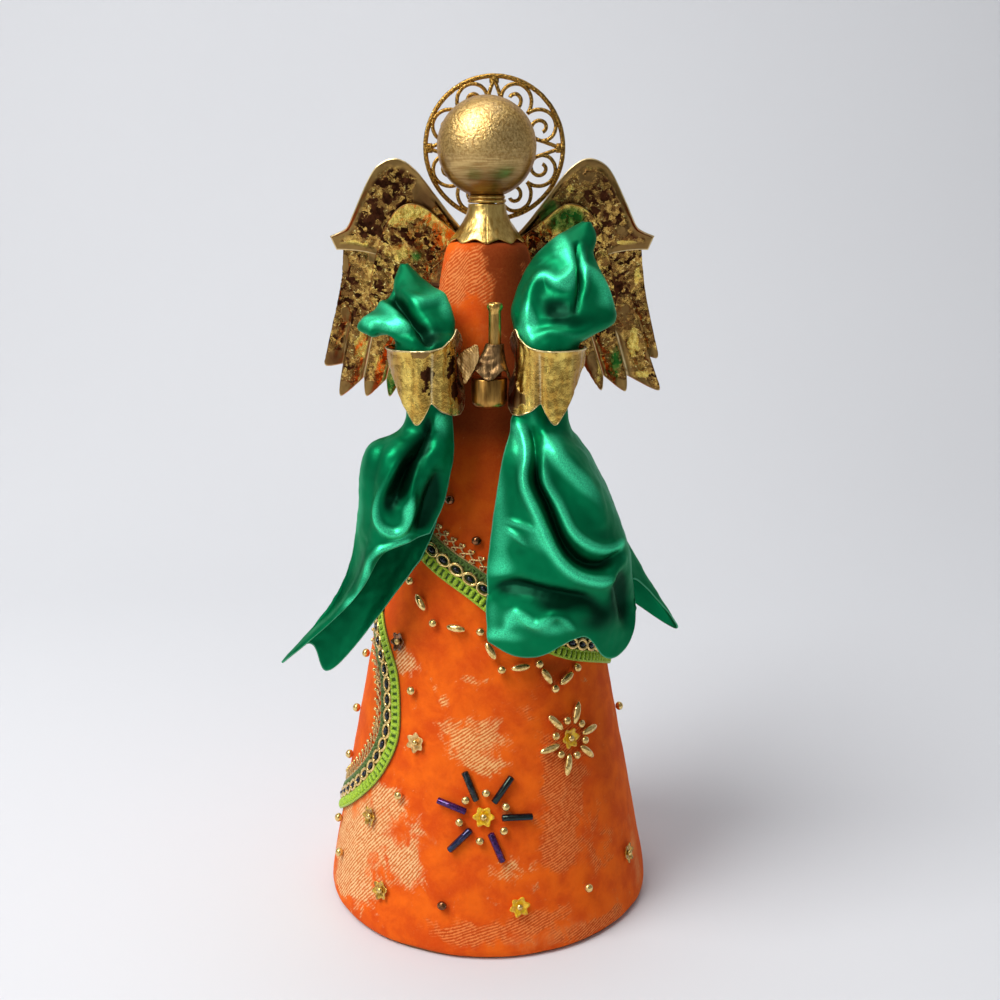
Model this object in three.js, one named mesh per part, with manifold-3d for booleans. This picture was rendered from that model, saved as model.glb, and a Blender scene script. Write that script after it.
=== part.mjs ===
// Angel figurine: a velvet-covered card cone with a turned wooden head, a filigree halo, pressed
// sheet-metal wings, satin sleeves with petal cuffs and a small candle, trimmed with braid and beads.
// Millimetres, +Z up. The figure faces -Y, and left and right are the viewer's.
import * as THREE from "three";
import { mergeVertices } from "three/addons/utils/BufferGeometryUtils.js";
import Module from "manifold-3d";

const wasm = await Module();
wasm.setup();

// Clearance between pieces that are glued, sewn or pushed together
const FIT_GAP = 0.3;

// Skirt: a rolled card cone on a card disc, covered with velvet
const SKIRT_BASE_R = 54;
const SKIRT_TOP_R = 13;
const SKIRT_HEIGHT = 213.2;
const SKIRT_SHOULDER = 1.6;
const SKIRT_SIDES = 40;
const VELVET_T = 1.2;
const VELVET_HEM_Z = 1.2;
const VELVET_HEM_ROLL = 2.4;
const CARD_T = 1.6;
const BOARD_T = 2;
const PLUG_LENGTH = 20;

// Neck, head and halo
const DOWEL_R = 2.5;
const DOWEL_IN_HEAD = 10;
const RING_R = 5.9;
const RING_H = 1.2;
const COLLAR_H = 11.4;
const COLLAR_TOP_R = 5.4;
const COLLAR_FLARE_R = 11;
const COLLAR_T = 0.6;
const COLLAR_SCALLOPS = 9;
const COLLAR_SCALLOP_DEPTH = 1.1;
const COLLAR_RIPPLE = 0.45;
const COLLAR_EASE = 0.5;
const HEAD_R = 15;
const HALO_R = 22.3;
const HALO_T = 0.9;
const HALO_RIM_W = 1.5;
const HALO_WIRE_W = 1.1;
const HALO_HUB_R = 4;
const HALO_PAIRS = 4;
const HALO_SCROLL_TURNS = 1.55;
const HALO_SCROLL_EASE = 1.23;
const HALO_SCROLL_EYE = 1.3;
const HALO_SCROLL_BITE = 0.35;
const HALO_LEG_SHARE = 0.44;
const HALO_LEG_BEND = { out: 0.5, turn: 0.2 };
const HALO_JOINT_W = 3;
const HALO_SHIFT_X = 2.2;

// Wings: three layers of sheet metal a side, given as distances from the wings' own centre line
const WING_CENTRE_X = 1.5;
const WING_T = 0.5;
const WING_SWEEP = 0.05;
const COVERT_BULGE = 2.2;
const BULGE_FROM_OUT = 9;
const BULGE_WIDTH = 46;
const BULGE_FROM_HEIGHT = -3;
const BULGE_HEIGHT = 31;
const LEAF_CURL = 1.8;
const LEAF_CLEARANCE = 0.45;
const FEATHER_ARCH = 1.4;
const FEATHER_TIP_ROUND = 0.25;
const FEATHER_ARCH_FROM = 0.3;
const FEATHER_ARCH_FULL = 0.7;

// Arms: a wire in each satin sleeve, ending in a petal cuff of sheet metal
const WIRE_R = 0.9;
const WRIST_X = 18;
const WRIST_Y = -29;
const WRIST_DROP = 28.2;
const CUFF_R = 10.5;
const CUFF_T = 0.5;
const CUFF_LENGTH = 22;
const CUFF_POINT = 5.7;
const CUFF_POINT_DEG = 57;
const CUFF_POINT_SPREAD_DEG = 26;
const CUFF_FLARE = 0.1;
const CUFF_FLARE_FULL_DEG = 70;
const SATIN_T = 0.6;
const SLEEVE_TUCK = 2.6;
const SLEEVE_NECK = 1.7;

// Candle, held between the two cuffs
const CANDLE_X = 2.5;
const CANDLE_FORWARD = 4;
const CANDLE_R = 1.9;
const CANDLE_WAIST_R = 1.75;
const CANDLE_LIP_R = 2.24;
const CANDLE_LIP_H = 1.6;
const CANDLE_DISH_R = 1.14;
const CANDLE_DISH_DEPTH = 0.8;
const CANDLE_RISE = 13;
const SPIGOT_R = 1.4;
const SPIGOT_LENGTH = 4;
const SOCKET_X = 0.9;
const SOCKET_R = 5.2;
const SOCKET_FOOT_R = 3.5;
const SOCKET_FOOT_ROUND = 2.4;
const SOCKET_DROP = 8.4;
const SOCKET_LENGTH = 8.4;
const CALYX_T = 0.5;
const CALYX_H = 9.7;
const CALYX_PETALS = 4;
const CALYX_SPREAD = 1.4;
const CALYX_SIDE_DROOP = 0.7;
const CALYX_NOTCH_H = 2.6;
const CALYX_LEAF_T = 0.5;

// Trims sewn to the velvet
const BRAID_W = 8.4;
const BRAID_T = 1.3;
const EDGING_W = 4.2;
const EDGING_T = 0.9;
const PEARL_R = 1.4;
const RICE_LENGTH = 6.2;
const RICE_R = 1.3;
const BUGLE_LENGTH = 9.4;
const BUGLE_R = 1.1;
const BUGLE_SIDES = 6;
const SEQUIN_R = 3.4;
const SEQUIN_T = 1.2;
const SEQUIN_PETALS = 6;
const SEQUIN_NOTCH = 0.14;

// How finely round pieces are turned, and how many columns and rows the sheets and beads have
const TURNED_SIDES = 28;
const SLIM_SIDES = 18;
const DRILL_SIDES = 12;
const WIRE_SIDES = 8;
const WIRE_STEPS = 20;
const SCROLL_STEPS = 14;
const SOCKET_FOOT_STEPS = 3;
const GRID = {
  collar: [4 * COLLAR_SCALLOPS, 4],
  head: [26, 15],
  coverts: [18, 5],
  shoulderLeaf: [12, 4],
  feather: [8, 6],
  sleeve: [16, 9],
  cuff: [32, 5],
  drape: [22, 14],
  calyx: [6 * CALYX_PETALS, 4],
  calyxLeaf: [6, 2],
  leftBraid: [28, 2],
  leftEdging: [28, 1],
  frontBraid: [30, 2],
  frontEdging: [30, 1],
  pearl: [8, 5],
  rice: [8, 6],
};

// Corners nearer than this are one corner
const MERGE_GAP = 1e-3;

const FULL_TURN = 2 * Math.PI;
const radians = THREE.MathUtils.degToRad;
const lerp = THREE.MathUtils.lerp;
const vec = (x, y, z) => new THREE.Vector3(x, y, z);

const finish = (color, roughness, metalness = 0) =>
  new THREE.MeshStandardMaterial({ color, roughness, metalness });
const material = {
  velvet: finish(0xe2561a, 0.9),
  card: finish(0x8d6a45, 0.95),
  wood: finish(0xc9a06a, 0.8),
  goldPaint: finish(0xa9873f, 0.42, 0.9),
  sheetGold: finish(0xb8923c, 0.3, 0.9),
  satin: finish(0x04794a, 0.35),
  wire: finish(0x9a9a96, 0.4, 0.9),
  braid: finish(0x8fbf1e, 0.85),
  edging: finish(0x8a6f4a, 0.6, 0.3),
  goldBead: finish(0xc9a75a, 0.2, 0.9),
  bugle: finish(0x2b1d4a, 0.2, 0.3),
  sequin: finish(0xe0b21e, 0.4, 0.3),
};

const figure = new THREE.Group();
function place(name, geometry, look) {
  const mesh = new THREE.Mesh(geometry, look);
  mesh.name = name;
  figure.add(mesh);
  return mesh;
}

// Geometry helpers

// A closed geometry as a solid that can be joined and cut
function solidOf(geometry) {
  const bare = geometry.index ? geometry.toNonIndexed() : geometry.clone();
  bare.deleteAttribute("normal");
  bare.deleteAttribute("uv");
  const merged = mergeVertices(bare, MERGE_GAP);
  return new wasm.Manifold(
    new wasm.Mesh({
      numProp: 3,
      vertProperties: merged.attributes.position.array,
      triVerts: new Uint32Array(merged.index.array),
    }),
  );
}

function geometryOf(solid) {
  const { vertProperties, triVerts } = solid.getMesh();
  const geometry = new THREE.BufferGeometry();
  geometry.setAttribute("position", new THREE.BufferAttribute(vertProperties, 3));
  geometry.setIndex(new THREE.BufferAttribute(triVerts, 1));
  geometry.computeVertexNormals();
  return geometry;
}

// Turns a profile of [radius, z] points about the Z axis. The profile runs upwards on its outer side.
function revolve(profile, sides) {
  const points = profile.map(([r, z]) => new THREE.Vector2(r, z));
  return new THREE.LatheGeometry(points, sides).rotateX(Math.PI / 2);
}

// A round bar along a curve
function bar(curve, radius, steps, sides) {
  const section = new THREE.Shape();
  for (let i = 0; i < sides; i++) {
    const angle = (i / sides) * FULL_TURN;
    const x = radius * Math.cos(angle);
    const y = radius * Math.sin(angle);
    if (i === 0) section.moveTo(x, y);
    else section.lineTo(x, y);
  }
  section.closePath();
  return new THREE.ExtrudeGeometry(section, { steps, extrudePath: curve, bevelEnabled: false });
}

// A closed thin sheet over surface(u, v), u and v from 0 to 1, with half its thickness on each side.
// A sheet that is round joins its last column to its first.
function sheet(surface, columns, rows, thickness, round = false) {
  const across = round ? columns : columns + 1;
  const grid = [];
  for (let j = 0; j <= rows; j++) {
    for (let i = 0; i < across; i++) grid.push(surface(i / columns, j / rows));
  }
  const wrap = (i) => (round ? (i + across) % across : THREE.MathUtils.clamp(i, 0, columns));
  const index = (i, j) => THREE.MathUtils.clamp(j, 0, rows) * across + wrap(i);
  const sides = [[], []];
  for (let j = 0; j <= rows; j++) {
    for (let i = 0; i < across; i++) {
      const alongU = grid[index(i + 1, j)].clone().sub(grid[index(i - 1, j)]);
      const alongV = grid[index(i, j + 1)].clone().sub(grid[index(i, j - 1)]);
      const normal = alongU.cross(alongV).normalize().multiplyScalar(thickness / 2);
      sides[0].push(grid[index(i, j)].clone().add(normal));
      sides[1].push(grid[index(i, j)].clone().sub(normal));
    }
  }
  const count = grid.length;
  const triangles = [];
  const quad = (a, b, c, d) => triangles.push(a, b, c, a, c, d);
  for (let j = 0; j < rows; j++) {
    for (let i = 0; i < columns; i++) {
      const [a, b, c, d] = [index(i, j), index(i + 1, j), index(i + 1, j + 1), index(i, j + 1)];
      quad(a, b, c, d);
      quad(count + d, count + c, count + b, count + a);
    }
  }
  for (let i = 0; i < columns; i++) {
    const [a, b] = [index(i, 0), index(i + 1, 0)];
    quad(count + a, count + b, b, a);
    const [c, d] = [index(i, rows), index(i + 1, rows)];
    quad(c, d, count + d, count + c);
  }
  for (let j = 0; j < rows && !round; j++) {
    const [a, b] = [index(0, j), index(0, j + 1)];
    quad(a, b, count + b, count + a);
    const [c, d] = [index(columns, j), index(columns, j + 1)];
    quad(count + c, count + d, d, c);
  }
  const geometry = new THREE.BufferGeometry().setFromPoints([...sides[0], ...sides[1]]);
  geometry.setIndex(triangles);
  geometry.computeVertexNormals();
  return geometry;
}

// A smooth curve through flat [a, b] pairs, read as a point at t from 0 to 1
function flatCurve(pairs) {
  const curve = new THREE.CatmullRomCurve3(pairs.map(([a, b]) => vec(a, b, 0)), false, "centripetal");
  return (t) => curve.getPoint(t);
}

// A smooth surface through guide curves, each a list of points from its top to its bottom
function guidedSurface(guides) {
  const lines = guides.map((points) => new THREE.CatmullRomCurve3(points, false, "centripetal"));
  return (u, v) => {
    const row = new THREE.CatmullRomCurve3(lines.map((line) => line.getPoint(v)), false, "centripetal");
    return row.getPoint(u);
  };
}

// The skirt's outer surface

const SKIRT_SLOPE = (SKIRT_BASE_R - SKIRT_TOP_R) / SKIRT_HEIGHT;
const skirtRadius = (z) => SKIRT_BASE_R - SKIRT_SLOPE * z;

// A point lifted off the velvet. The angle is in degrees, 0 at the front and growing to the right.
function onSkirt(degrees, z, lift = 0) {
  const angle = radians(degrees);
  const radius = skirtRadius(z) + lift;
  return vec(radius * Math.sin(angle), -radius * Math.cos(angle), z + lift * SKIRT_SLOPE);
}

// Moves a point out to where cloth would lie on the skirt, if it is nearer the axis than that
function outsideSkirt(point, clearance) {
  const radius = Math.hypot(point.x, point.y);
  const least = skirtRadius(point.z) + clearance;
  if (radius < least) {
    point.x *= least / radius;
    point.y *= least / radius;
  }
  return point;
}

// Skirt and its core

function boardRadius() {
  return skirtRadius(BOARD_T) - VELVET_T - FIT_GAP;
}

function baseBoard() {
  return revolve([[0, 0], [boardRadius(), 0], [boardRadius(), BOARD_T], [0, BOARD_T]], SKIRT_SIDES);
}

const cardOuter = (z) => skirtRadius(z) - VELVET_T - FIT_GAP;
const cardInner = (z) => cardOuter(z) - CARD_T;
const CARD_TOP_Z = SKIRT_HEIGHT - VELVET_T - FIT_GAP;
const CARD_FOOT_Z = BOARD_T + FIT_GAP;

function cardCone() {
  return revolve(
    [
      [cardInner(CARD_FOOT_Z), CARD_FOOT_Z],
      [cardOuter(CARD_FOOT_Z), CARD_FOOT_Z],
      [cardOuter(CARD_TOP_Z), CARD_TOP_Z],
      [cardInner(CARD_TOP_Z), CARD_TOP_Z],
      [cardInner(CARD_FOOT_Z), CARD_FOOT_Z],
    ],
    SKIRT_SIDES,
  );
}

function topPlug() {
  const foot = CARD_TOP_Z - PLUG_LENGTH;
  const radius = (z) => cardInner(z) - FIT_GAP;
  const bore = DOWEL_R + FIT_GAP;
  return revolve(
    [
      [bore, foot],
      [radius(foot), foot],
      [radius(CARD_TOP_Z), CARD_TOP_Z],
      [bore, CARD_TOP_Z],
      [bore, foot],
    ],
    SKIRT_SIDES,
  );
}

// The velvet stops short of the floor with a rolled hem, and closes over the top of the cone.
function velvetCover() {
  const top = SKIRT_HEIGHT;
  const shoulder = top - SKIRT_SHOULDER;
  const hemTop = VELVET_HEM_Z + VELVET_HEM_ROLL;
  const bore = DOWEL_R + FIT_GAP;
  const inner = (z) => skirtRadius(z) - VELVET_T;
  const softened = SKIRT_SHOULDER / 3;
  return revolve(
    [
      [inner(VELVET_HEM_Z), VELVET_HEM_Z],
      [inner(VELVET_HEM_Z) + VELVET_T / 2, VELVET_HEM_Z],
      [skirtRadius(hemTop) - VELVET_T / 4, VELVET_HEM_Z + VELVET_HEM_ROLL / 3],
      [skirtRadius(hemTop), hemTop],
      [skirtRadius(shoulder), shoulder],
      [skirtRadius(shoulder) - softened, top - softened],
      [skirtRadius(shoulder) - SKIRT_SHOULDER, top],
      [bore, top],
      [bore, top - VELVET_T],
      [inner(top - VELVET_T), top - VELVET_T],
      [inner(VELVET_HEM_Z), VELVET_HEM_Z],
    ],
    SKIRT_SIDES,
  );
}

// Neck, head and halo

const COLLAR_FOOT_Z = SKIRT_HEIGHT + FIT_GAP;
const RING_Z = COLLAR_FOOT_Z + COLLAR_H + FIT_GAP;
const HEAD_Z = RING_Z + RING_H + FIT_GAP + HEAD_R;
const DOWEL_TOP_Z = HEAD_Z - HEAD_R + DOWEL_IN_HEAD;

function neckDowel() {
  const foot = CARD_TOP_Z - PLUG_LENGTH;
  return revolve([[0, foot], [DOWEL_R, foot], [DOWEL_R, DOWEL_TOP_Z], [0, DOWEL_TOP_Z]], SLIM_SIDES);
}

// A flared bell of sheet metal with a scalloped, rippled rim that stands on the velvet
function collar() {
  const surface = (u, v) => {
    const angle = u * FULL_TURN;
    const wave = Math.cos(COLLAR_SCALLOPS * angle);
    const flare = v * v * (1 + COLLAR_EASE - COLLAR_EASE * v);
    const radius = lerp(COLLAR_TOP_R, COLLAR_FLARE_R, flare) + COLLAR_RIPPLE * wave * v * v;
    const foot = COLLAR_FOOT_Z + (COLLAR_SCALLOP_DEPTH * (1 - wave)) / 2;
    const z = lerp(COLLAR_FOOT_Z + COLLAR_H, foot, v);
    return vec(radius * Math.sin(angle), -radius * Math.cos(angle), z);
  };
  return sheet(surface, ...GRID.collar, COLLAR_T, true);
}

function neckRing() {
  const bore = DOWEL_R + FIT_GAP;
  const bead = RING_H / 2;
  return revolve(
    [
      [bore, RING_Z],
      [RING_R - bead, RING_Z],
      [RING_R, RING_Z + bead],
      [RING_R - bead, RING_Z + RING_H],
      [bore, RING_Z + RING_H],
      [bore, RING_Z],
    ],
    TURNED_SIDES,
  );
}

function headBall() {
  const ball = new THREE.SphereGeometry(HEAD_R, ...GRID.head).rotateX(Math.PI / 2);
  const bore = DOWEL_R + FIT_GAP;
  const drillLength = HEAD_R;
  const drillTop = DOWEL_IN_HEAD + FIT_GAP - HEAD_R;
  const drill = new THREE.CylinderGeometry(bore, bore, drillLength, SLIM_SIDES);
  drill.rotateX(Math.PI / 2).translate(0, 0, drillTop - drillLength / 2);
  return geometryOf(solidOf(ball).subtract(solidOf(drill))).translate(0, 0, HEAD_Z);
}

// A flat ring between two radii
function flatRing(outer, inner, thickness, curveSegments) {
  const shape = new THREE.Shape().absarc(0, 0, outer, 0, FULL_TURN);
  shape.holes.push(new THREE.Path().absarc(0, 0, inner, 0, FULL_TURN, true));
  return new THREE.ExtrudeGeometry(shape, { depth: thickness, bevelEnabled: false, curveSegments });
}

// A flat strip of one width along a line of flat points
function strip(points, width, thickness) {
  const left = [];
  const right = [];
  points.forEach((point, i) => {
    const next = points[Math.min(i + 1, points.length - 1)];
    const last = points[Math.max(i - 1, 0)];
    const across = next.clone().sub(last).normalize().multiplyScalar(width / 2);
    left.push(new THREE.Vector2(point.x - across.y, point.y + across.x));
    right.push(new THREE.Vector2(point.x + across.y, point.y - across.x));
  });
  const shape = new THREE.Shape([...right, ...left.reverse()]);
  return new THREE.ExtrudeGeometry(shape, { depth: thickness, bevelEnabled: false });
}

// A flat point from its distance and direction
const polar = (radius, angle) => new THREE.Vector2(radius * Math.cos(angle), radius * Math.sin(angle));

// A stamped filigree disc. Joints on the rim send a leg to each side, and between two joints a pair of
// spiral scrolls curl away from each other, held by ribs that run in to a hub behind the head.
function halo() {
  const rimInner = HALO_R - HALO_RIM_W;
  const rimMiddle = HALO_R - HALO_RIM_W / 2;
  const pairTurn = FULL_TURN / HALO_PAIRS;
  const startTurn = Math.PI / 2 + pairTurn / 4;
  const shareAt = (turned) => turned / (HALO_SCROLL_TURNS * FULL_TURN);
  const rimShare = shareAt(startTurn);
  const ribShare = shareAt(startTurn + Math.PI);
  const startPerCentre = Math.sin(pairTurn / 4);
  const left = (share) => (1 - share) ** HALO_SCROLL_EASE;
  const touch = rimInner + HALO_SCROLL_BITE - HALO_WIRE_W / 2;
  const centre =
    (touch - HALO_SCROLL_EYE * (1 - left(rimShare))) / (1 + startPerCentre * left(rimShare));
  const scrollRadius = (share) => lerp(HALO_SCROLL_EYE, centre * startPerCentre, left(share));
  const scrollPoint = (at, sense, share) => {
    const turn = at + sense * (startTurn - share * HALO_SCROLL_TURNS * FULL_TURN);
    return polar(centre, at).add(polar(scrollRadius(share), turn));
  };
  let solid = solidOf(flatRing(HALO_R, rimInner, HALO_T, SLIM_SIDES));
  solid = solid.add(solidOf(flatRing(HALO_HUB_R, HALO_WIRE_W, HALO_T, SLIM_SIDES / 2)));
  const add = (points, width) => {
    solid = solid.add(solidOf(strip(points, width, HALO_T)));
  };
  for (let k = 0; k < 2 * HALO_PAIRS; k++) {
    const at = ((k + 0.5) * pairTurn) / 2;
    const sense = k % 2 === 0 ? 1 : -1;
    const joint = at - sense * (pairTurn / 4);
    const scroll = [];
    for (let i = 0; i <= SCROLL_STEPS; i++) scroll.push(scrollPoint(at, sense, i / SCROLL_STEPS));
    add(scroll, HALO_WIRE_W);
    const legEnd = scrollPoint(at, sense, HALO_LEG_SHARE);
    const bendOut = lerp(rimInner, legEnd.length(), HALO_LEG_BEND.out);
    const bend = polar(bendOut, lerp(joint, at, HALO_LEG_BEND.turn));
    add([polar(rimMiddle, joint), polar(rimInner, joint), bend, legEnd], HALO_WIRE_W);
    const ribEnd = polar(centre - scrollRadius(ribShare), at);
    add([ribEnd, polar(HALO_HUB_R - HALO_WIRE_W, at)], HALO_WIRE_W);
    if (sense > 0) add([polar(rimMiddle, joint), polar(rimInner - HALO_WIRE_W, joint)], HALO_JOINT_W);
  }
  const back = HEAD_R + FIT_GAP + HALO_T;
  return geometryOf(solid).rotateX(Math.PI / 2).translate(HALO_SHIFT_X, back, HEAD_Z);
}

// Wings

// Points are [distance from the wings' centre line, height above the skirt's top].
const COVERT_LEADING = [
  [0.3, -2],
  [8.6, 3],
  [19.3, 16.5],
  [25, 23],
  [29.9, 25.3],
  [35, 23.5],
  [39, 18],
  [44.2, 7.5],
  [46.8, 3.5],
  [51.5, 1.4],
];
const COVERT_TRAILING = [
  [0.3, -30],
  [9, -28.5],
  [16, -24],
  [21, -15],
  [26.5, -8.6],
  [34, -5.2],
  [42, -3.2],
  [49.8, -2.8],
];
const LEAF_LEADING = [
  [9, 1.4],
  [16, 6.5],
  [23, 11.4],
  [31, 8.5],
  [37, -4],
  [40, -18],
];
const LEAF_TRAILING = [
  [9.6, -1.5],
  [16, -6],
  [22, -11],
  [28, -16],
  [34, -20],
  [39, -20.5],
];
const FEATHER_ROOT = [
  [47.5, 0.5],
  [38, -0.5],
  [27, -3.5],
  [15, -7.5],
];
const FEATHERS = {
  left: {
    tips: [[55.7, -40.2], [51, -51.3], [42.1, -51.4], [34.3, -51.4]],
    valleys: [[49.3, -26], [49.5, -40.3], [42.7, -44.8], [35.3, -45.4], [28.5, -42]],
  },
  right: {
    tips: [[54.8, -37.8], [55.9, -49.4], [44.3, -49.8], [36, -49.2]],
    valleys: [[50, -25], [50.3, -37.2], [44.6, -44.2], [36.8, -44.2], [28.1, -37]],
  },
};

// A wing layer's point. The layers lean with the skirt's back, swept back a little towards the tips.
function wingPoint(sign, out, height, forward) {
  const z = SKIRT_HEIGHT + height;
  const y = skirtRadius(z) + FIT_GAP + WING_T / 2 + WING_SWEEP * out - forward;
  return vec(WING_CENTRE_X + sign * out, y, z);
}

// Keeps both wings' faces pointing the same way
const facing = (sign, u) => (sign > 0 ? u : 1 - u);
const swell = (t) => Math.sin(Math.PI * THREE.MathUtils.clamp(t, 0, 1));

// How far the coverts swell forward, nothing at the root or where the long feathers come out below
function covertBulge(out, height) {
  const across = swell((out - BULGE_FROM_OUT) / BULGE_WIDTH);
  return COVERT_BULGE * across * swell((height - BULGE_FROM_HEIGHT) / BULGE_HEIGHT);
}

function wingCoverts(sign) {
  const leading = flatCurve(COVERT_LEADING);
  const trailing = flatCurve(COVERT_TRAILING);
  const surface = (u, v) => {
    const along = facing(sign, u);
    const point = leading(along).lerp(trailing(along), v);
    return wingPoint(sign, point.x, point.y, covertBulge(point.x, point.y));
  };
  return sheet(surface, ...GRID.coverts, WING_T);
}

// A leaf-shaped layer in front of the coverts, with its upper edge curled forward
function shoulderLeaf(sign) {
  const leading = flatCurve(LEAF_LEADING);
  const trailing = flatCurve(LEAF_TRAILING);
  const surface = (u, v) => {
    const along = facing(sign, u);
    const point = leading(along).lerp(trailing(along), v);
    const curl = LEAF_CURL * swell(along) * (1 - v) ** 3;
    const layer = covertBulge(point.x, point.y) + WING_T + LEAF_CLEARANCE;
    return wingPoint(sign, point.x, point.y, layer + curl);
  };
  return sheet(surface, ...GRID.shoulderLeaf, WING_T);
}

// How far a feather's end stands out across its width, nothing at its sides and 1 at its rounded tip
function featherReach(share) {
  const fromSide = (t) => Math.hypot(1, FEATHER_TIP_ROUND) - Math.hypot(t, FEATHER_TIP_ROUND);
  return fromSide(2 * share - 1) / fromSide(0);
}

// Long feathers behind the coverts: one pressed sheet, cut into separate tips
function wingFeathers(sign, { tips, valleys }) {
  const root = flatCurve(FEATHER_ROOT);
  const [columnsEach, rows] = GRID.feather;
  const surface = (u, v) => {
    const along = facing(-sign, u) * tips.length;
    const feather = Math.min(Math.floor(along), tips.length - 1);
    const share = along - feather;
    const [from, to] = [valleys[feather], valleys[feather + 1]];
    const reach = featherReach(share);
    const endOut = lerp(from[0], to[0], share) + reach * (tips[feather][0] - (from[0] + to[0]) / 2);
    const endHeight = lerp(from[1], to[1], share) + reach * (tips[feather][1] - (from[1] + to[1]) / 2);
    const start = root(along / tips.length);
    const arched = THREE.MathUtils.smoothstep(v, FEATHER_ARCH_FROM, FEATHER_ARCH_FULL);
    const forward = FEATHER_ARCH * swell(share) * arched;
    return wingPoint(
      sign,
      lerp(start.x, endOut, v),
      lerp(start.y, endHeight, v),
      forward - WING_T - FIT_GAP,
    );
  };
  return sheet(surface, columnsEach * tips.length, rows, WING_T);
}

// Arms

const WRIST_Z = SKIRT_HEIGHT - WRIST_DROP;
const CUFF_INNER_R = CUFF_R - CUFF_T / 2;
const GATHER_R = CUFF_INNER_R - FIT_GAP - SATIN_T / 2;
const wrist = (sign) => vec(sign * WRIST_X, WRIST_Y, WRIST_Z);

// A point on the ring round a wrist. Degrees are 0 at the front and grow towards the candle.
function roundWrist(sign, degrees, radius, height) {
  const angle = radians(degrees);
  return wrist(sign).add(vec(-sign * radius * Math.sin(angle), -radius * Math.cos(angle), height));
}

// Wire routes from the plug to the wrist, as offsets from the wrist with x growing away from the candle
const WIRE_BENDS = {
  left: [[3.4, 25, 17.6], [4.3, 20, 17], [4.3, 15, 14.8], [3, 8, 10], [0.5, 1.5, 3]],
  right: [[5, 24, 28], [8.4, 20.5, 28], [8.4, 15, 24], [5.5, 9, 15], [1.5, 2, 3.5]],
};
const WIRE_DROP = { left: 12.7, right: 9.2 };
const WIRE_START_Y = -2;
const WIRE_IN_PLUG = 5.5;
const WIRE_OUT = 2;
const WIRE_ELBOW_DROP = CUFF_LENGTH / 5;
const WIRE_END_DROP = CUFF_LENGTH / 3;
const WIRE_END_DEG = 90;

// The straight, level stretch from inside the plug out through the card and the velvet
function wireStart(sign, side) {
  const z = SKIRT_HEIGHT - WIRE_DROP[side];
  const from = vec(sign * WIRE_IN_PLUG, WIRE_START_Y, z);
  const to = vec(sign * (skirtRadius(z) + WIRE_OUT), WIRE_START_Y, z);
  return { from, to };
}

function armWire(sign, side) {
  const { from, to } = wireStart(sign, side);
  const points = WIRE_BENDS[side].map(([x, y, z]) => wrist(sign).add(vec(sign * x, y, z)));
  const end = roundWrist(sign, WIRE_END_DEG, CUFF_INNER_R - FIT_GAP - WIRE_R, -WIRE_END_DROP);
  const elbow = roundWrist(sign, WIRE_END_DEG, WIRE_R, -WIRE_ELBOW_DROP);
  const middle = from.clone().lerp(to, 0.5);
  const curve = new THREE.CatmullRomCurve3([from, middle, to, ...points, elbow, end], false, "centripetal");
  return bar(curve, WIRE_R, WIRE_STEPS, WIRE_SIDES);
}

// A drill for the wire's straight stretch, with its clearance
function wireDrill(sign, side) {
  const { from, to } = wireStart(sign, side);
  const along = to.clone().sub(from);
  const start = from.clone().addScaledVector(along.normalize(), -FIT_GAP);
  return solidOf(bar(new THREE.LineCurve3(start, to), WIRE_R + FIT_GAP, 1, DRILL_SIDES));
}

function drilled(geometry) {
  const holes = wireDrill(-1, "left").add(wireDrill(1, "right"));
  return geometryOf(solidOf(geometry).subtract(holes));
}

// Sleeve sections from the elbow down: offsets from the wrist, then half width and half depth
const SLEEVE_SECTIONS = {
  left: [
    [6.6, 17, 22.6, 0.9, 1.6],
    [5.1, 14.5, 18.6, 3.8, 4.2],
    [3.2, 11.5, 14.8, 6.8, 6.4],
    [3.2, 8, 11.2, 9.6, 8.2],
    [5, 4.5, 7, 13, 9.8],
    [4.6, 2.4, 4.2, 12.9, 9.8],
  ],
  right: [
    [11.6, 17, 34.8, 1, 1.6],
    [8.5, 15.5, 30.5, 5.7, 4.6],
    [5.5, 13, 26.5, 7.8, 6.2],
    [4.4, 10.5, 22, 10.2, 7.6],
    [4.1, 7.5, 16.8, 12.5, 9],
    [4.2, 4, 10.5, 14.6, 10],
    [4, 2.4, 6, 13.9, 9.9],
  ],
};
const SLEEVE_WRAP_DEG = 150;
const SLEEVE_FOLD = 0.9;
const SLEEVE_FOLD_COUNT = 5;
const SLEEVE_FOLD_SPAN = { from: 0.11, length: 0.74 };

// A satin sleeve, open down its back where the wire comes in, gathered into the cuff
function sleeve(sign, side) {
  const gathered = [SLEEVE_NECK, -SLEEVE_TUCK].map((height) => [0, 0, height, GATHER_R, GATHER_R]);
  const sections = [...SLEEVE_SECTIONS[side], ...gathered];
  const middles = new THREE.CatmullRomCurve3(
    sections.map(([x, y, z]) => wrist(sign).add(vec(sign * x, y, z))),
  );
  const sizes = flatCurve(sections.map((section) => section.slice(3)));
  const surface = (u, v) => {
    const angle = radians(lerp(-SLEEVE_WRAP_DEG, SLEEVE_WRAP_DEG, u));
    const middle = middles.getPoint(v);
    const size = sizes(v);
    const depth = SLEEVE_FOLD * swell((v - SLEEVE_FOLD_SPAN.from) / SLEEVE_FOLD_SPAN.length);
    const fold = 1 + (depth / size.x) * Math.cos(SLEEVE_FOLD_COUNT * angle);
    const x = size.x * fold * Math.sin(angle);
    const y = -size.y * fold * Math.cos(angle);
    return outsideSkirt(middle.add(vec(x, y, 0)), SATIN_T + FIT_GAP);
  };
  return sheet(surface, ...GRID.sleeve, SATIN_T);
}

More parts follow.
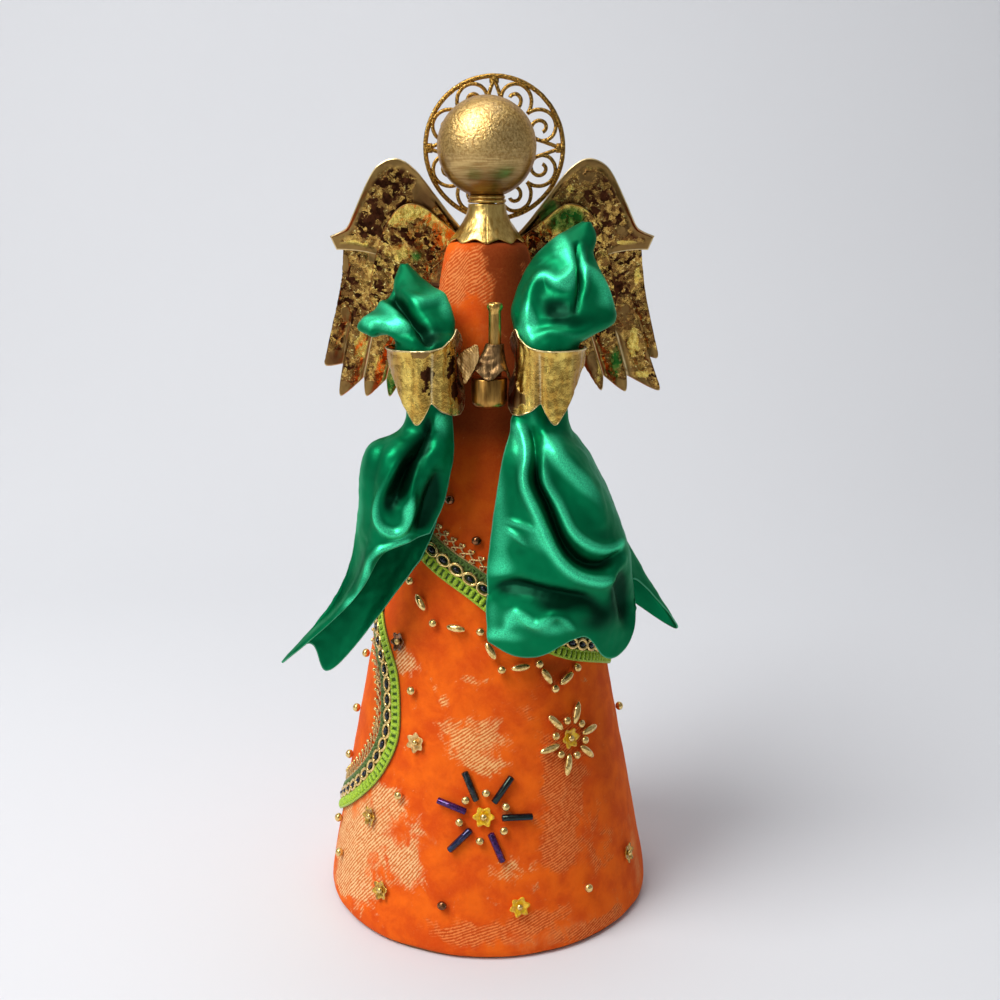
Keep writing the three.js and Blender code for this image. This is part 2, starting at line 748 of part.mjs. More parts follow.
// The cuff's lower edge as [degrees round the wrist, share of the cuff's length]: three petals
const CUFF_HEM = [
  [-178, 0.4],
  [-131, 0.86],
  [-98, 0.36],
  [-84, 0.27],
  [-60, 0.5],
  [-34, 0.8],
  [-10, 1],
  [3, 0.86],
  [13, 0.66],
  [26, 0.79],
  [48, 0.87],
  [66, 0.86],
  [86, 0.75],
  [106, 0.5],
];

// Reads a list of [x, value] pairs as straight stretches
function readPairs(pairs, x) {
  const next = Math.max(1, pairs.findIndex(([at]) => at >= x));
  const [[fromX, from], [toX, to]] = [pairs[next - 1], pairs[next]];
  return THREE.MathUtils.mapLinear(x, fromX, toX, from, to);
}

// A petal cuff: sheet metal wrapped round the wrist, with pointed petals below and one point above
function cuff(sign) {
  const first = CUFF_HEM[0][0];
  const last = CUFF_HEM[CUFF_HEM.length - 1][0];
  const surface = (u, v) => {
    const degrees = lerp(first, last, facing(-sign, u));
    const length = CUFF_LENGTH * readPairs(CUFF_HEM, degrees);
    const point = CUFF_POINT * Math.exp(-(((degrees - CUFF_POINT_DEG) / CUFF_POINT_SPREAD_DEG) ** 2));
    const flare = CUFF_FLARE * THREE.MathUtils.smoothstep(degrees, 0, CUFF_FLARE_FULL_DEG) * v * v;
    return roundWrist(sign, degrees, CUFF_R * (1 + flare), lerp(point, -length, v));
  };
  return sheet(surface, ...GRID.cuff, CUFF_T);
}

// Candle

const CANDLE_Y = WRIST_Y - CANDLE_FORWARD;
const CANDLE_TOP_Z = WRIST_Z + CANDLE_RISE;
const SOCKET_TOP_Z = WRIST_Z - SOCKET_DROP;

// The calyx opens until its right petal rests against the flared cuff.
function calyxFlare() {
  const cuffOuter = CUFF_R * (1 + CUFF_FLARE / 2) + CUFF_T / 2;
  const cuffEdge = WRIST_X - Math.sqrt(cuffOuter ** 2 - CANDLE_FORWARD ** 2);
  return cuffEdge - SOCKET_X - FIT_GAP - CALYX_T / 2;
}

// A bell of thin metal round the candle's foot, cut into petals that droop over the socket
function calyx() {
  const top = SOCKET_TOP_Z + CALYX_H;
  const neck = CANDLE_R + FIT_GAP + CALYX_T / 2;
  const flare = calyxFlare();
  const surface = (u, v) => {
    const angle = u * FULL_TURN;
    const petal = (1 + Math.cos(CALYX_PETALS * angle)) / 2;
    const side = Math.sin(angle);
    const foot = SOCKET_TOP_Z + lerp(CALYX_NOTCH_H, -CALYX_SIDE_DROOP * side * side, petal);
    const radius = lerp(neck, flare, v ** CALYX_SPREAD);
    const middle = lerp(CANDLE_X, SOCKET_X, v);
    return vec(middle + radius * side, CANDLE_Y - radius * Math.cos(angle), lerp(top, foot, v));
  };
  return sheet(surface, ...GRID.calyx, CALYX_T, true);
}

// A kite-shaped leaf between the calyx and the left cuff: each side as [x, height above the socket]
const LEAF_RIGHT = [[-2.2, 9.9], [-2, 8.1], [-2.7, 4.3], [-5.7, -1.2]];
const LEAF_LEFT = [[-2.9, 10.1], [-8.1, 6], [-7.2, 2.2], [-6.1, -1.4]];
const LEAF_TURN = { x: -8.1, y: -34.6, slope: -0.7 };

function calyxLeaf() {
  const right = flatCurve(LEAF_RIGHT);
  const left = flatCurve(LEAF_LEFT);
  const surface = (u, v) => {
    const point = right(u).lerp(left(u), v);
    const y = LEAF_TURN.y + LEAF_TURN.slope * (point.x - LEAF_TURN.x);
    return vec(point.x, y, SOCKET_TOP_Z + point.y);
  };
  return sheet(surface, ...GRID.calyxLeaf, CALYX_LEAF_T);
}

function candle() {
  const seat = SOCKET_TOP_Z + FIT_GAP;
  const lipFoot = CANDLE_TOP_Z - CANDLE_LIP_H;
  const profile = [
    [0, seat - SPIGOT_LENGTH],
    [SPIGOT_R, seat - SPIGOT_LENGTH],
    [SPIGOT_R, seat],
    [CANDLE_R, seat],
    [CANDLE_WAIST_R, lipFoot - CANDLE_LIP_H / 2],
    [CANDLE_LIP_R, lipFoot],
    [CANDLE_LIP_R, CANDLE_TOP_Z - CANDLE_DISH_DEPTH / 2],
    [CANDLE_DISH_R, CANDLE_TOP_Z],
    [0, CANDLE_TOP_Z - CANDLE_DISH_DEPTH],
  ];
  return revolve(profile, SLIM_SIDES).translate(CANDLE_X, CANDLE_Y, 0);
}

// A cup with a rounded foot, drilled for the candle's spigot
function candleSocket() {
  const foot = SOCKET_TOP_Z - SOCKET_LENGTH;
  const profile = [[0, foot]];
  for (let i = 0; i <= SOCKET_FOOT_STEPS; i++) {
    const turn = ((i / SOCKET_FOOT_STEPS) * Math.PI) / 2;
    const radius = lerp(SOCKET_FOOT_R, SOCKET_R, Math.sin(turn));
    profile.push([radius, foot + SOCKET_FOOT_ROUND * (1 - Math.cos(turn))]);
  }
  profile.push([SOCKET_R, SOCKET_TOP_Z], [0, SOCKET_TOP_Z]);
  const cup = revolve(profile, SLIM_SIDES).translate(SOCKET_X, CANDLE_Y, 0);
  const bore = SPIGOT_R + FIT_GAP;
  const drill = new THREE.CylinderGeometry(bore, bore, 2 * SPIGOT_LENGTH, DRILL_SIDES).rotateX(Math.PI / 2);
  drill.translate(CANDLE_X, CANDLE_Y, SOCKET_TOP_Z);
  return geometryOf(solidOf(cup).subtract(solidOf(drill)));
}

// Hanging satin. Each guide starts at the given angle inside the cuff, then runs through offsets from
// the wrist, with x growing away from the candle, down to the hem.
const DRAPE_TOP_DEG = { first: 52, last: -150 };
const DRAPE_THROAT = { shift: -3.2, halfWidth: { left: 6.3, right: 9.2 }, halfDepth: 8 };
const DRAPES = {
  left: [
    [[-8.6, -7, -29], [-7.5, -8, -37], [-5.3, -8.5, -45.5], [-1.5, -9, -53.7]],
    [[-4, -11, -29], [-1.6, -12, -39], [2, -11.5, -48], [5.2, -11, -56]],
    [[2, -13, -30], [5.5, -13.5, -41], [9.2, -12.5, -50.5], [12.4, -11, -59.3]],
    [[8.5, -12.5, -29.5], [12, -12.5, -43], [15, -11, -56], [17.3, -10, -68]],
    [[13.5, -9, -29], [16.5, -9, -45], [19.5, -8.5, -63], [28, -8, -81]],
    [[15.8, -3, -28.5], [19, -3, -45], [24, -3, -70], [44.3, -5, -95.5]],
    [[14, 1, -30], [18, 0, -48], [25, -1, -72], [36, -2, -90.5]],
    [[8, 2, -32], [12, 0, -52], [18, -2, -76], [31, -4, -98.6]],
    [[0.5, 0, -32], [3, -2, -50], [8.5, -3.5, -67], [16.6, -5, -83.2]],
    [[-5, -1, -31], [-5, -3, -41], [-3, -4.5, -52], [1.5, -6, -62.3]],
  ],
  right: [
    [[-12.9, -9, -30], [-15.6, -11, -46], [-18, -12, -68], [-17.4, -13, -85.7]],
    [[-6.5, -13, -30], [-8, -16, -48], [-9, -17, -70], [-11, -16, -88.6]],
    [[-0.5, -14.5, -30], [1, -18, -48], [1, -20, -70], [-1, -18, -88]],
    [[5.5, -14, -30], [9.5, -17, -48], [11, -18.5, -68], [10.3, -17, -82.8]],
    [[9.5, -11, -30], [16, -12.5, -48], [19, -13.5, -70], [16.5, -14, -90]],
    [[11.5, -5.5, -30.5], [20.5, -5, -48], [24.5, -5.5, -66], [23.5, -9, -89.5]],
    [[12, 1.5, -30.5], [20.5, 3, -48], [25.5, 3, -66], [27, -3, -79]],
    [[11, 8, -30], [18, 10, -47], [25, 10, -62], [28.5, 6, -73]],
    [[8.5, 11, -29], [14.5, 14, -46], [24, 15, -63], [42, 11, -90]],
    [[3, 11, -29], [6.5, 13, -45], [12, 14, -60], [22, 15, -78]],
  ],
};

// The cloth hangs from a ring inside the cuff and leaves it through a narrower throat.
function drape(sign, side) {
  const count = DRAPES[side].length - 1;
  const tuckTop = -SLEEVE_TUCK - 2 * FIT_GAP;
  const { shift, halfWidth, halfDepth } = DRAPE_THROAT;
  const guides = DRAPES[side].map((points, i) => {
    const degrees = lerp(DRAPE_TOP_DEG.first, DRAPE_TOP_DEG.last, i / count);
    const top = roundWrist(sign, degrees, GATHER_R, tuckTop);
    const throatX = shift - halfWidth[side] * Math.sin(radians(degrees));
    const throatY = -halfDepth * Math.cos(radians(degrees));
    const hanging = [[throatX, throatY, -CUFF_LENGTH], ...points];
    return [top, ...hanging.map(([x, y, z]) => wrist(sign).add(vec(sign * x, y, z)))];
  });
  const cloth = guidedSurface(guides);
  const surface = (u, v) => outsideSkirt(cloth(facing(-sign, u), v), SATIN_T + FIT_GAP);
  return sheet(surface, ...GRID.drape, SATIN_T);
}

// Trims

// Places on the skirt are [degrees round it from the front, share of its height].
const LEFT_BRAID = [
  [-78, 0.464],
  [-65, 0.424],
  [-53.5, 0.389],
  [-48.5, 0.352],
  [-46.3, 0.305],
  [-49, 0.27],
  [-54.6, 0.235],
  [-68, 0.185],
  [-88, 0.136],
  [-112, 0.089],
];
const FRONT_BRAID = [
  [-44, 0.593],
  [-33, 0.575],
  [-20, 0.555],
  [-1, 0.523],
  [20, 0.474],
  [42, 0.435],
  [66, 0.408],
  [104, 0.361],
  [138, 0.324],
];

const upSkirt = ([degrees, share]) => [degrees, share * SKIRT_HEIGHT];

// A flat band that follows a route on the skirt, shifted up the slope from the route
function band(route, width, thickness, shift, grid) {
  const line = flatCurve(route.map(upSkirt));
  const nearby = 0.01;
  const surface = (u, v) => {
    const here = line(u);
    const ahead = line(Math.min(u + nearby, 1));
    const behind = line(Math.max(u - nearby, 0));
    const perDegree = radians(1) * skirtRadius(here.y);
    const course = new THREE.Vector2((ahead.x - behind.x) * perDegree, ahead.y - behind.y).normalize();
    const across = shift + (0.5 - v) * width;
    const degrees = here.x - (course.y * across) / perDegree;
    return onSkirt(degrees, here.y + course.x * across, FIT_GAP + thickness / 2);
  };
  return sheet(surface, ...grid, thickness);
}

// Seats a small piece on the velvet, lying flat, turned by its roll in degrees from level
function sew(mesh, degrees, z, halfThickness, roll = 0) {
  const angle = radians(degrees);
  const right = vec(Math.cos(angle), Math.sin(angle), 0);
  const tilt = Math.atan(SKIRT_SLOPE);
  const out = vec(Math.sin(angle), -Math.cos(angle), 0);
  const up = vec(0, 0, 1).multiplyScalar(Math.cos(tilt)).addScaledVector(out, -Math.sin(tilt));
  const normal = right.clone().cross(up);
  mesh.quaternion.setFromRotationMatrix(new THREE.Matrix4().makeBasis(right, up, normal));
  mesh.rotateZ(radians(roll));
  mesh.position.copy(onSkirt(degrees, z)).addScaledVector(normal, halfThickness + FIT_GAP);
}

const pearl = () => new THREE.SphereGeometry(PEARL_R, ...GRID.pearl);

// A rice bead, lying along X
function riceBead() {
  const geometry = new THREE.SphereGeometry(1, ...GRID.rice);
  return geometry.scale(RICE_R, RICE_LENGTH / 2, RICE_R).rotateZ(Math.PI / 2);
}

// A bugle bead, lying along X on a flat side
function bugleBead() {
  return new THREE.CylinderGeometry(BUGLE_R, BUGLE_R, BUGLE_LENGTH, BUGLE_SIDES).rotateZ(Math.PI / 2);
}

// A flower sequin, lying in its XY plane
function flowerSequin() {
  const corners = 4 * SEQUIN_PETALS;
  const points = [];
  for (let i = 0; i < corners; i++) {
    const angle = (i / corners) * FULL_TURN;
    const radius = SEQUIN_R * (1 - SEQUIN_NOTCH * (1 - Math.cos(SEQUIN_PETALS * angle)));
    points.push(new THREE.Vector2(radius * Math.cos(angle), radius * Math.sin(angle)));
  }
  const flower = new THREE.ExtrudeGeometry(new THREE.Shape(points), { depth: SEQUIN_T, bevelEnabled: false });
  return flower.translate(0, 0, -SEQUIN_T / 2);
}

// Turns an offset along the velvet into degrees and height
function fromCentre(centre, roll, distance) {
  const [degrees, z] = upSkirt(centre);
  const perDegree = radians(1) * skirtRadius(z);
  const across = distance * Math.cos(radians(roll));
  return [degrees + across / perDegree, z + distance * Math.sin(radians(roll))];
}

const BUGLE_STAR = { centre: [-1.2, 0.208], rays: [114, 54, -3, -68, -133, 164], rayMiddle: 10 };
const RICE_FLOWER = { centre: [37, 0.303], rays: [4, 66, 130, 190, 254, 314], rayMiddle: 8.2 };
const GARLAND = [
  [-43.6, 0.526],
  [-26.7, 0.475],
  [-3, 0.469],
  [6.7, 0.415],
  [24.3, 0.418],
  [31.2, 0.379],
  [45.1, 0.399],
];

// A flower sequin with bead rays sewn round it by hand, each at its own angle in degrees from level
function rayedFlower({ centre, rays, rayMiddle }, name, ray, halfThickness, look) {
  sew(place(name + "_sequin", flowerSequin(), material.sequin), ...upSkirt(centre), SEQUIN_T / 2);
  rays.forEach((roll, i) => {
    const [degrees, z] = fromCentre(centre, roll, rayMiddle);
    sew(place(`${name}_ray_${i + 1}`, ray(), look), degrees, z, halfThickness, roll);
  });
}

// Round beads at the garland's corners, with a rice bead along each stretch between two of them
function garland() {
  const corners = GARLAND.map(upSkirt);
  corners.forEach(([degrees, z], i) => {
    sew(place(`garland_pearl_${i + 1}`, pearl(), material.goldBead), degrees, z, PEARL_R);
    if (i === 0) return;
    const [lastDegrees, lastZ] = corners[i - 1];
    const middleZ = (z + lastZ) / 2;
    const run = (degrees - lastDegrees) * radians(1) * skirtRadius(middleZ);
    const roll = THREE.MathUtils.radToDeg(Math.atan2(z - lastZ, run));
    const rice = place(`garland_rice_bead_${i}`, riceBead(), material.goldBead);
    sew(rice, (degrees + lastDegrees) / 2, middleZ, RICE_R, roll);
  });
}

// Assembly

place("base_board", baseBoard(), material.card);
place("card_cone", drilled(cardCone()), material.card);
place("top_plug", drilled(topPlug()), material.wood);
place("velvet_cover", drilled(velvetCover()), material.velvet);
place("neck_dowel", neckDowel(), material.wood);
place("collar", collar(), material.goldPaint);
place("neck_ring", neckRing(), material.goldPaint);
place("head_ball", headBall(), material.goldPaint);
place("halo", halo(), material.sheetGold);

for (const [side, sign] of [["left", -1], ["right", 1]]) {
  place(`wing_coverts_${side}`, wingCoverts(sign), material.sheetGold);
  place(`wing_feathers_${side}`, wingFeathers(sign, FEATHERS[side]), material.sheetGold);
  place(`wing_shoulder_leaf_${side}`, shoulderLeaf(sign), material.sheetGold);
  place(`arm_wire_${side}`, armWire(sign, side), material.wire);
  place(`sleeve_${side}`, sleeve(sign, side), material.satin);
  place(`cuff_${side}`, cuff(sign), material.sheetGold);
  place(`drape_${side}`, drape(sign, side), material.satin);
}

place("candle", candle(), material.sheetGold);
place("candle_calyx", calyx(), material.sheetGold);
place("candle_leaf", calyxLeaf(), material.sheetGold);
place("candle_socket", candleSocket(), material.sheetGold);

const edgingShift = (BRAID_W + EDGING_W) / 2 + FIT_GAP;
const leftEdging = band(LEFT_BRAID, EDGING_W, EDGING_T, -edgingShift, GRID.leftEdging);
const frontEdging = band(FRONT_BRAID, EDGING_W, EDGING_T, edgingShift, GRID.frontEdging);
place("braid_left", band(LEFT_BRAID, BRAID_W, BRAID_T, 0, GRID.leftBraid), material.braid);
place("braid_front", band(FRONT_BRAID, BRAID_W, BRAID_T, 0, GRID.frontBraid), material.braid);
place("edging_left", leftEdging, material.edging);
place("edging_front", frontEdging, material.edging);
rayedFlower(BUGLE_STAR, "bugle_star", bugleBead, BUGLE_R, material.bugle);
rayedFlower(RICE_FLOWER, "rice_flower", riceBead, RICE_R, material.goldBead);
garland();

export default figure;
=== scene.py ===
import math

import bpy
import numpy as np
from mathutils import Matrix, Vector, noise


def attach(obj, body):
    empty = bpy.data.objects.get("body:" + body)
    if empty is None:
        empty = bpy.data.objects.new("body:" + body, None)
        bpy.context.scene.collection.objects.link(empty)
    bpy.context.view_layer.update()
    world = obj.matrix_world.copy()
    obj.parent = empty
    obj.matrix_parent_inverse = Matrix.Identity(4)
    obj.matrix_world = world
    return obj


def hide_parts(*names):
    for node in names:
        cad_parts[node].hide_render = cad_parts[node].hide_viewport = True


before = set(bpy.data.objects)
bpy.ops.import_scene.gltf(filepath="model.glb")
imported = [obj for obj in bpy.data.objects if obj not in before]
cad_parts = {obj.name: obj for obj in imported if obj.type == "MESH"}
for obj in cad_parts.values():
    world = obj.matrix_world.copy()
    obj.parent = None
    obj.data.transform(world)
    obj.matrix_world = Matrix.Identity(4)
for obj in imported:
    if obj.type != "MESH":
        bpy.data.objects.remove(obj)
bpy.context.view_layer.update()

# Sizes are in millimetres, as in the CAD, and are turned into metres where a mesh is made.
MM = 0.001
FULL_TURN = 2 * math.pi
SIDES = {"left": -1, "right": 1}

# Camera and studio, in metres
CAMERA_AT = (0.004, -0.400, 0.231)
CAMERA_TILT_DEG = 76.1
CAMERA_LENS = 46.08
CAMERA_SENSOR = 36.0
CAMERA_CLIP = 0.01
SKY_STRENGTH = 0.27
# The paper: where it starts, where its corner begins, the corner's radius, and where its back stands and ends
SWEEP = {"front": -0.7, "corner": 0.3, "radius": 0.5, "back": 0.8, "top": 1.6, "half": 2.2, "steps": 25}
# Lamps: name, place, aim, size and power
LAMPS = [("key", (-0.58, -0.42, 1.08), (0, 0, 0.14), 0.75, 13.5),
         ("front", (-0.75, -0.9, 0.5), (0, 0, 0.12), 0.7, 1.5),
         ("top", (0.0, 0.15, 1.4), (0, 0.4, 0.1), 1.0, 4.0)]

# Rows and columns of the grids, and sides of the turned pieces
GRIDS = {"velvet": (170, 301), "collar": (26, 217), "head": (96, 128), "wing": (60, 150), "feather": (90, 30),
         "cuff": (50, 240), "sleeve": (90, 150), "drape": (170, 230), "calyx": (44, 145), "kite": (30, 50)}
TURNED = {"neck": 96, "candle": 40, "socket": 72}
# Dents in each surface: (depth, size, seed). The head's and the candle's depths are shares of a radius.
DENTS = {
    "velvet": [(0.16, 7, 0)],
    "hem": [(0.3, 14, 5)],
    "collar": [(0.14, 2.6, 0), (0.07, 1.0, 3)],
    "head": [(0.0022, 0.11, 0)],
    "foil": [(0.3, 3.5, 0), (0.12, 1.4, 3)],
    "cuff": [(0.15, 2.0, 0)],
    "satin": [(0.22, 5.0, 0), (0.1, 2.2, 4)],
    "calyx": [(0.35, 1.7, 0)],
    "kite": [(0.3, 2.2, 0)],
    "candle": [(0.09, 0.8, 0)],
}

# Skirt, as in the CAD
SKIRT_BASE_R = 54.0
SKIRT_TOP_R = 13.0
SKIRT_HEIGHT = 213.2
SKIRT_SLOPE = (SKIRT_BASE_R - SKIRT_TOP_R) / SKIRT_HEIGHT
VELVET_T = 1.2
VELVET_NAP = 0.25
VELVET_END_ROWS = 9
# The turned profile as (radius, z): the rolled hem, the straight part's heights and the turned-over top
VELVET_HEM = [(50.9, 2.6), (51.9, 1.5), (52.9, 1.3), (53.4, 2.2), (53.35, 3.8)]
VELVET_STRAIGHT = (5.5, 209.5)
VELVET_SHOULDER = [(13.35, 211.6), (12.3, 212.9), (10.6, 213.2), (7, 213.2), (3.3, 213.2)]
# How far the velvet is pulled in round the torso, and the heights and radii over which the pull comes on
TORSO_PULL = 0.9
TORSO_Z = (150, 195)
TORSO_R = (5, 11)
# Heights over which the hem's ripple comes on, and over which all dents come on below the top
HEM_RIPPLE_Z = (12, 3)
VELVET_DENTED_Z = (211, 205)
SEAM_DEG = 179.7
FIT_GAP = 0.3

# Neck, head and halo
COLLAR_FOOT_Z = 213.5
COLLAR_H = 11.4
COLLAR_TOP_R = 5.4
COLLAR_FLARE_R = 11.0
COLLAR_T = 0.6
COLLAR_SCALLOPS = 9
COLLAR_WAVE = 0.45
COLLAR_NOTCH = 1.1
RING_Z = 225.2
RING_R = 5.9
RING_BEAD_R = 0.6
RING_BORE_R = 2.9
RING_BEAD_STEPS = 13
# The ring's two beads: how far each is set in and raised, and where it meets the bore
RING_BEADS = [(0, 0, (0.1, 1.1)), (0.3, 1.15, (1.2, 2.0))]
HEAD_R = 15.0
HEAD_Z = 241.7
# Heights from the head's middle between which it turns from brushed to hammered, and over which painted shade
# darkens it towards the bottom
HEAD_HAMMERED = (-8, 1)
HEAD_LOWER_SHADE = (3, -13)
HALO_R = 22.3
HALO_T = 0.9
HALO_RIM_W = 1.5
HALO_WIRE_W = 1.1
HALO_HUB_R = 4.0
HALO_PAIRS = 4
HALO_TURNS = 1.55
HALO_EASE = 1.23
HALO_EYE = 1.3
HALO_BITE = 0.35
HALO_LEG_SHARE = 0.44
HALO_LEG_BEND = 0.2
HALO_RIB_BITE = 1
HALO_SWELL = 1.12
HALO_ROUGH = {"depth": 0.07, "size": 1.1, "seeds": (0, 9, 18)}
HALO_BAR_SIDES = 10
HALO_STEPS = {"rim": 180, "scroll": 70, "leg": 16, "rib": 12, "block": 6}
HALO_BLOCK = {"reach": 1.4, "half": 1.5}
HALO_AT = (2.2, 15.75, HEAD_Z)

# Arms
WRIST = (18.0, -29.0, 185.0)
CUFF_R = 10.5
CUFF_T = 0.5
CUFF_LENGTH = 22.0
CUFF_POINT = 5.7
CUFF_POINT_DEG = 62.0
CUFF_POINT_SPREAD_DEG = 21.0
CUFF_POINT_SHARPNESS = 1.4
CUFF_HEM_SMOOTHING = 9
# Parts of a cuff's shape: how strong each is, and where it lies in degrees from the front or in shares down
CUFF_ROLL = {"depth": 0.5, "down": (0.12, 0.0)}
CUFF_FLARE = {"share": 0.1, "from": 0, "to": 70}
CUFF_LEAN = {"share": 0.36, "from": -25, "to": -75, "below": 3}
CUFF_WAIST = {"depth": 2.6, "at": 88, "spread": 18, "from": 0.12, "length": 0.75}
CUFF_CREASE = {"depth": 0.9, "at": 13, "spread": 6, "down": (0.15, 0.8)}
CUFF_FLUTES = {"depth": 0.3, "degrees": 9, "height": 12}
# Its painted light and shade: a painted highlight line by the crease, painted shade on the brown inner side,
# and painted light on the petals' middles as (degrees, spread)
CUFF_CREASE_HIGHLIGHT = {"at": 15, "spread": 1.6, "down": (0.02, 0.1)}
CUFF_INNER_SHADE = {"share": 0.6, "from": 50, "to": 64}
CUFF_LIT_MIDDLES = [(-14, 20), (40, 12)]
GATHER_R = 9.65
SLEEVE_TUCK = 2.6
SLEEVE_NECK = 1.7
SLEEVE_LEAST = (0.5, 1.2)
SLEEVE_PLEATS = {"depth": 0.4, "count": 5, "rate": 1.35, "from": 0.15}
SATIN_T = 0.45
CLOTH_CLEARANCE = 0.9
# Folds press in where the cloth faces the front by this much, fade at their ends and make it light or dark
FOLD_FACING = (-0.35, 0.1)
FOLD_FADE = {"from": 0.06, "length": 0.88, "softness": 0.6}
FOLD_LIGHT = 0.8
FOLD_STEPS = 240

# Candle
CANDLE_AT = (2.5, -33.0)
CANDLE_TOP_Z = 198.0
SOCKET_X = 0.9
SOCKET_R = 5.2
SOCKET_FOOT_R = 3.5
SOCKET_FOOT_ROUND = 2.4
SOCKET_TOP_Z = 176.6
SOCKET_LENGTH = 8.4
SOCKET_LIP = [(0, 0.4), (0.15, 0.1), (0.4, 0)]
SOCKET_FLAT_R = (0.4, 2.2)
SOCKET_ROUND_STEPS = 9
# The candle's profile from its foot over its crushed tip and down inside, as (radius, z)
CANDLE_PROFILE = [(1.2, SOCKET_TOP_Z + FIT_GAP), (1.9, SOCKET_TOP_Z + FIT_GAP), (1.9, 183), (1.8, 190),
                  (1.76, 194.6), (1.8, 195.6), (2.1, 196.1), (2.24, 196.6), (2.24, 197.2), (2.1, 197.8),
                  (1.8, CANDLE_TOP_Z), (1.5, 197.7), (1.4, 197), (1.35, 192)]
CANDLE_CRUSHED_Z = (195, 196.2)
CALYX_T = 0.5
CALYX_H = 9.7
CALYX_NECK_R = 2.45
CALYX_FLARE_R = 6.0
CALYX_PETALS = 4
CALYX_NOTCH_H = 2.6
CALYX_DROOP = 0.7
CALYX_SPREAD = 1.4
KITE_RIGHT = [(-2.2, 9.9), (-2, 8.1), (-2.7, 4.3), (-5.7, -1.2)]
KITE_LEFT = [(-2.9, 10.1), (-8.1, 6), (-7.2, 2.2), (-6.1, -1.4)]
KITE_TURN = {"x": -8.1, "y": -34.6, "slope": -0.7}
KITE_RIDGES = {"depth": 0.08, "pitch": 1.1}


def tone(red, green, blue):
    """A display colour, 0 to 255, as the linear colour that shaders take."""
    parts = []
    for value in (red, green, blue):
        share = value / 255
        parts.append(share / 12.92 if share <= 0.04045 else ((share + 0.055) / 1.055) ** 2.4)
    return (*parts, 1.0)


# Materials


class Look:
    """A Principled material, built up from procedural nodes."""

    def __init__(self, name, **constants):
        self.material = bpy.data.materials.new(name)
        self.material.use_nodes = True
        self.tree = self.material.node_tree
        self.shader = self.tree.nodes["Principled BSDF"]
        for socket, value in constants.items():
            self.shader.inputs[socket.replace("_", " ")].default_value = value
        self.place = self.node("ShaderNodeTexCoord").outputs["Object"]

    def node(self, kind, inputs=None, **settings):
        made = self.tree.nodes.new(kind)
        for name, value in settings.items():
            setattr(made, name, value)
        for socket, value in (inputs or {}).items():
            self.put(made.inputs[socket], value)
        return made

    def put(self, socket, value):
        if isinstance(value, bpy.types.NodeSocket):
            self.tree.links.new(value, socket)
        else:
            socket.default_value = value

    def grain(self, size, detail=2.0, rough=0.5, where=None, warp=0.0, seed=0.0):
        """Noise whose lumps are about this many millimetres across, from 0 to 1."""
        inputs = {"Vector": where or self.place, "W": seed, "Scale": 1 / (size * MM), "Detail": detail,
                  "Roughness": rough, "Distortion": warp}
        return self.node("ShaderNodeTexNoise", inputs, noise_dimensions="4D").outputs["Fac"]

    def stretched(self, x, y, z):
        """The object's place with each axis scaled."""
        scaled = self.node("ShaderNodeVectorMath", {0: self.place, 1: (x, y, z)}, operation="MULTIPLY")
        return scaled.outputs["Vector"]

    def span(self, value, low, high):
        """0 at low and 1 at high, with a smooth step between."""
        inputs = {"Value": value, "From Min": low, "From Max": high}
        return self.node("ShaderNodeMapRange", inputs, interpolation_type="SMOOTHSTEP").outputs["Result"]

    def sum(self, operation, first, second=0.5):
        return self.node("ShaderNodeMath", {0: first, 1: second}, operation=operation).outputs["Value"]

    def times(self, first, second):
        return self.sum("MULTIPLY", first, second)

    def mixed(self, first, some, second, more):
        """Two values added in the given amounts."""
        return self.sum("ADD", self.times(first, some), self.times(second, more))

    def blend(self, share, first, second):
        """Two colours mixed by a share."""
        inputs = {"Factor": share, 6: first, 7: second}
        return self.node("ShaderNodeMix", inputs, data_type="RGBA").outputs[2]

    def between(self, share, first, second):
        """Two numbers mixed by a share."""
        inputs = {"Factor": share, 2: first, 3: second}
        return self.node("ShaderNodeMix", inputs, data_type="FLOAT").outputs[0]

    def value(self, name):
        return self.node("ShaderNodeAttribute", attribute_name=name).outputs["Fac"]

    def height(self):
        """The height above the table, in metres."""
        return self.node("ShaderNodeSeparateXYZ", {0: self.place}).outputs["Z"]

    def relief(self, height, depth, strength=1.0):
        """Bumps this many millimetres deep, on top of any made before."""
        inputs = {"Height": height, "Distance": depth * MM, "Strength": strength}
        made = self.node("ShaderNodeBump", inputs)
        before = self.shader.inputs["Normal"].links
        if before:
            self.put(made.inputs["Normal"], before[0].from_socket)
        self.put(self.shader.inputs["Normal"], made.outputs["Normal"])

    def set(self, **sockets):
        for socket, value in sockets.items():
            self.put(self.shader.inputs[socket.replace("_", " ")], value)
        return self.material


# Crushed places of the velvet: their slant in degrees, and the colours between their lines and on them
HATCHES = {
    "middle": (36, tone(208, 98, 38), tone(254, 206, 136)),
    "left": (47, tone(204, 112, 52), tone(254, 214, 156)),
    "right": (21, tone(192, 58, 10), tone(244, 140, 74)),
    "torso": (38, tone(188, 66, 20), tone(236, 140, 78)),
}
PILE_PITCH = 0.88


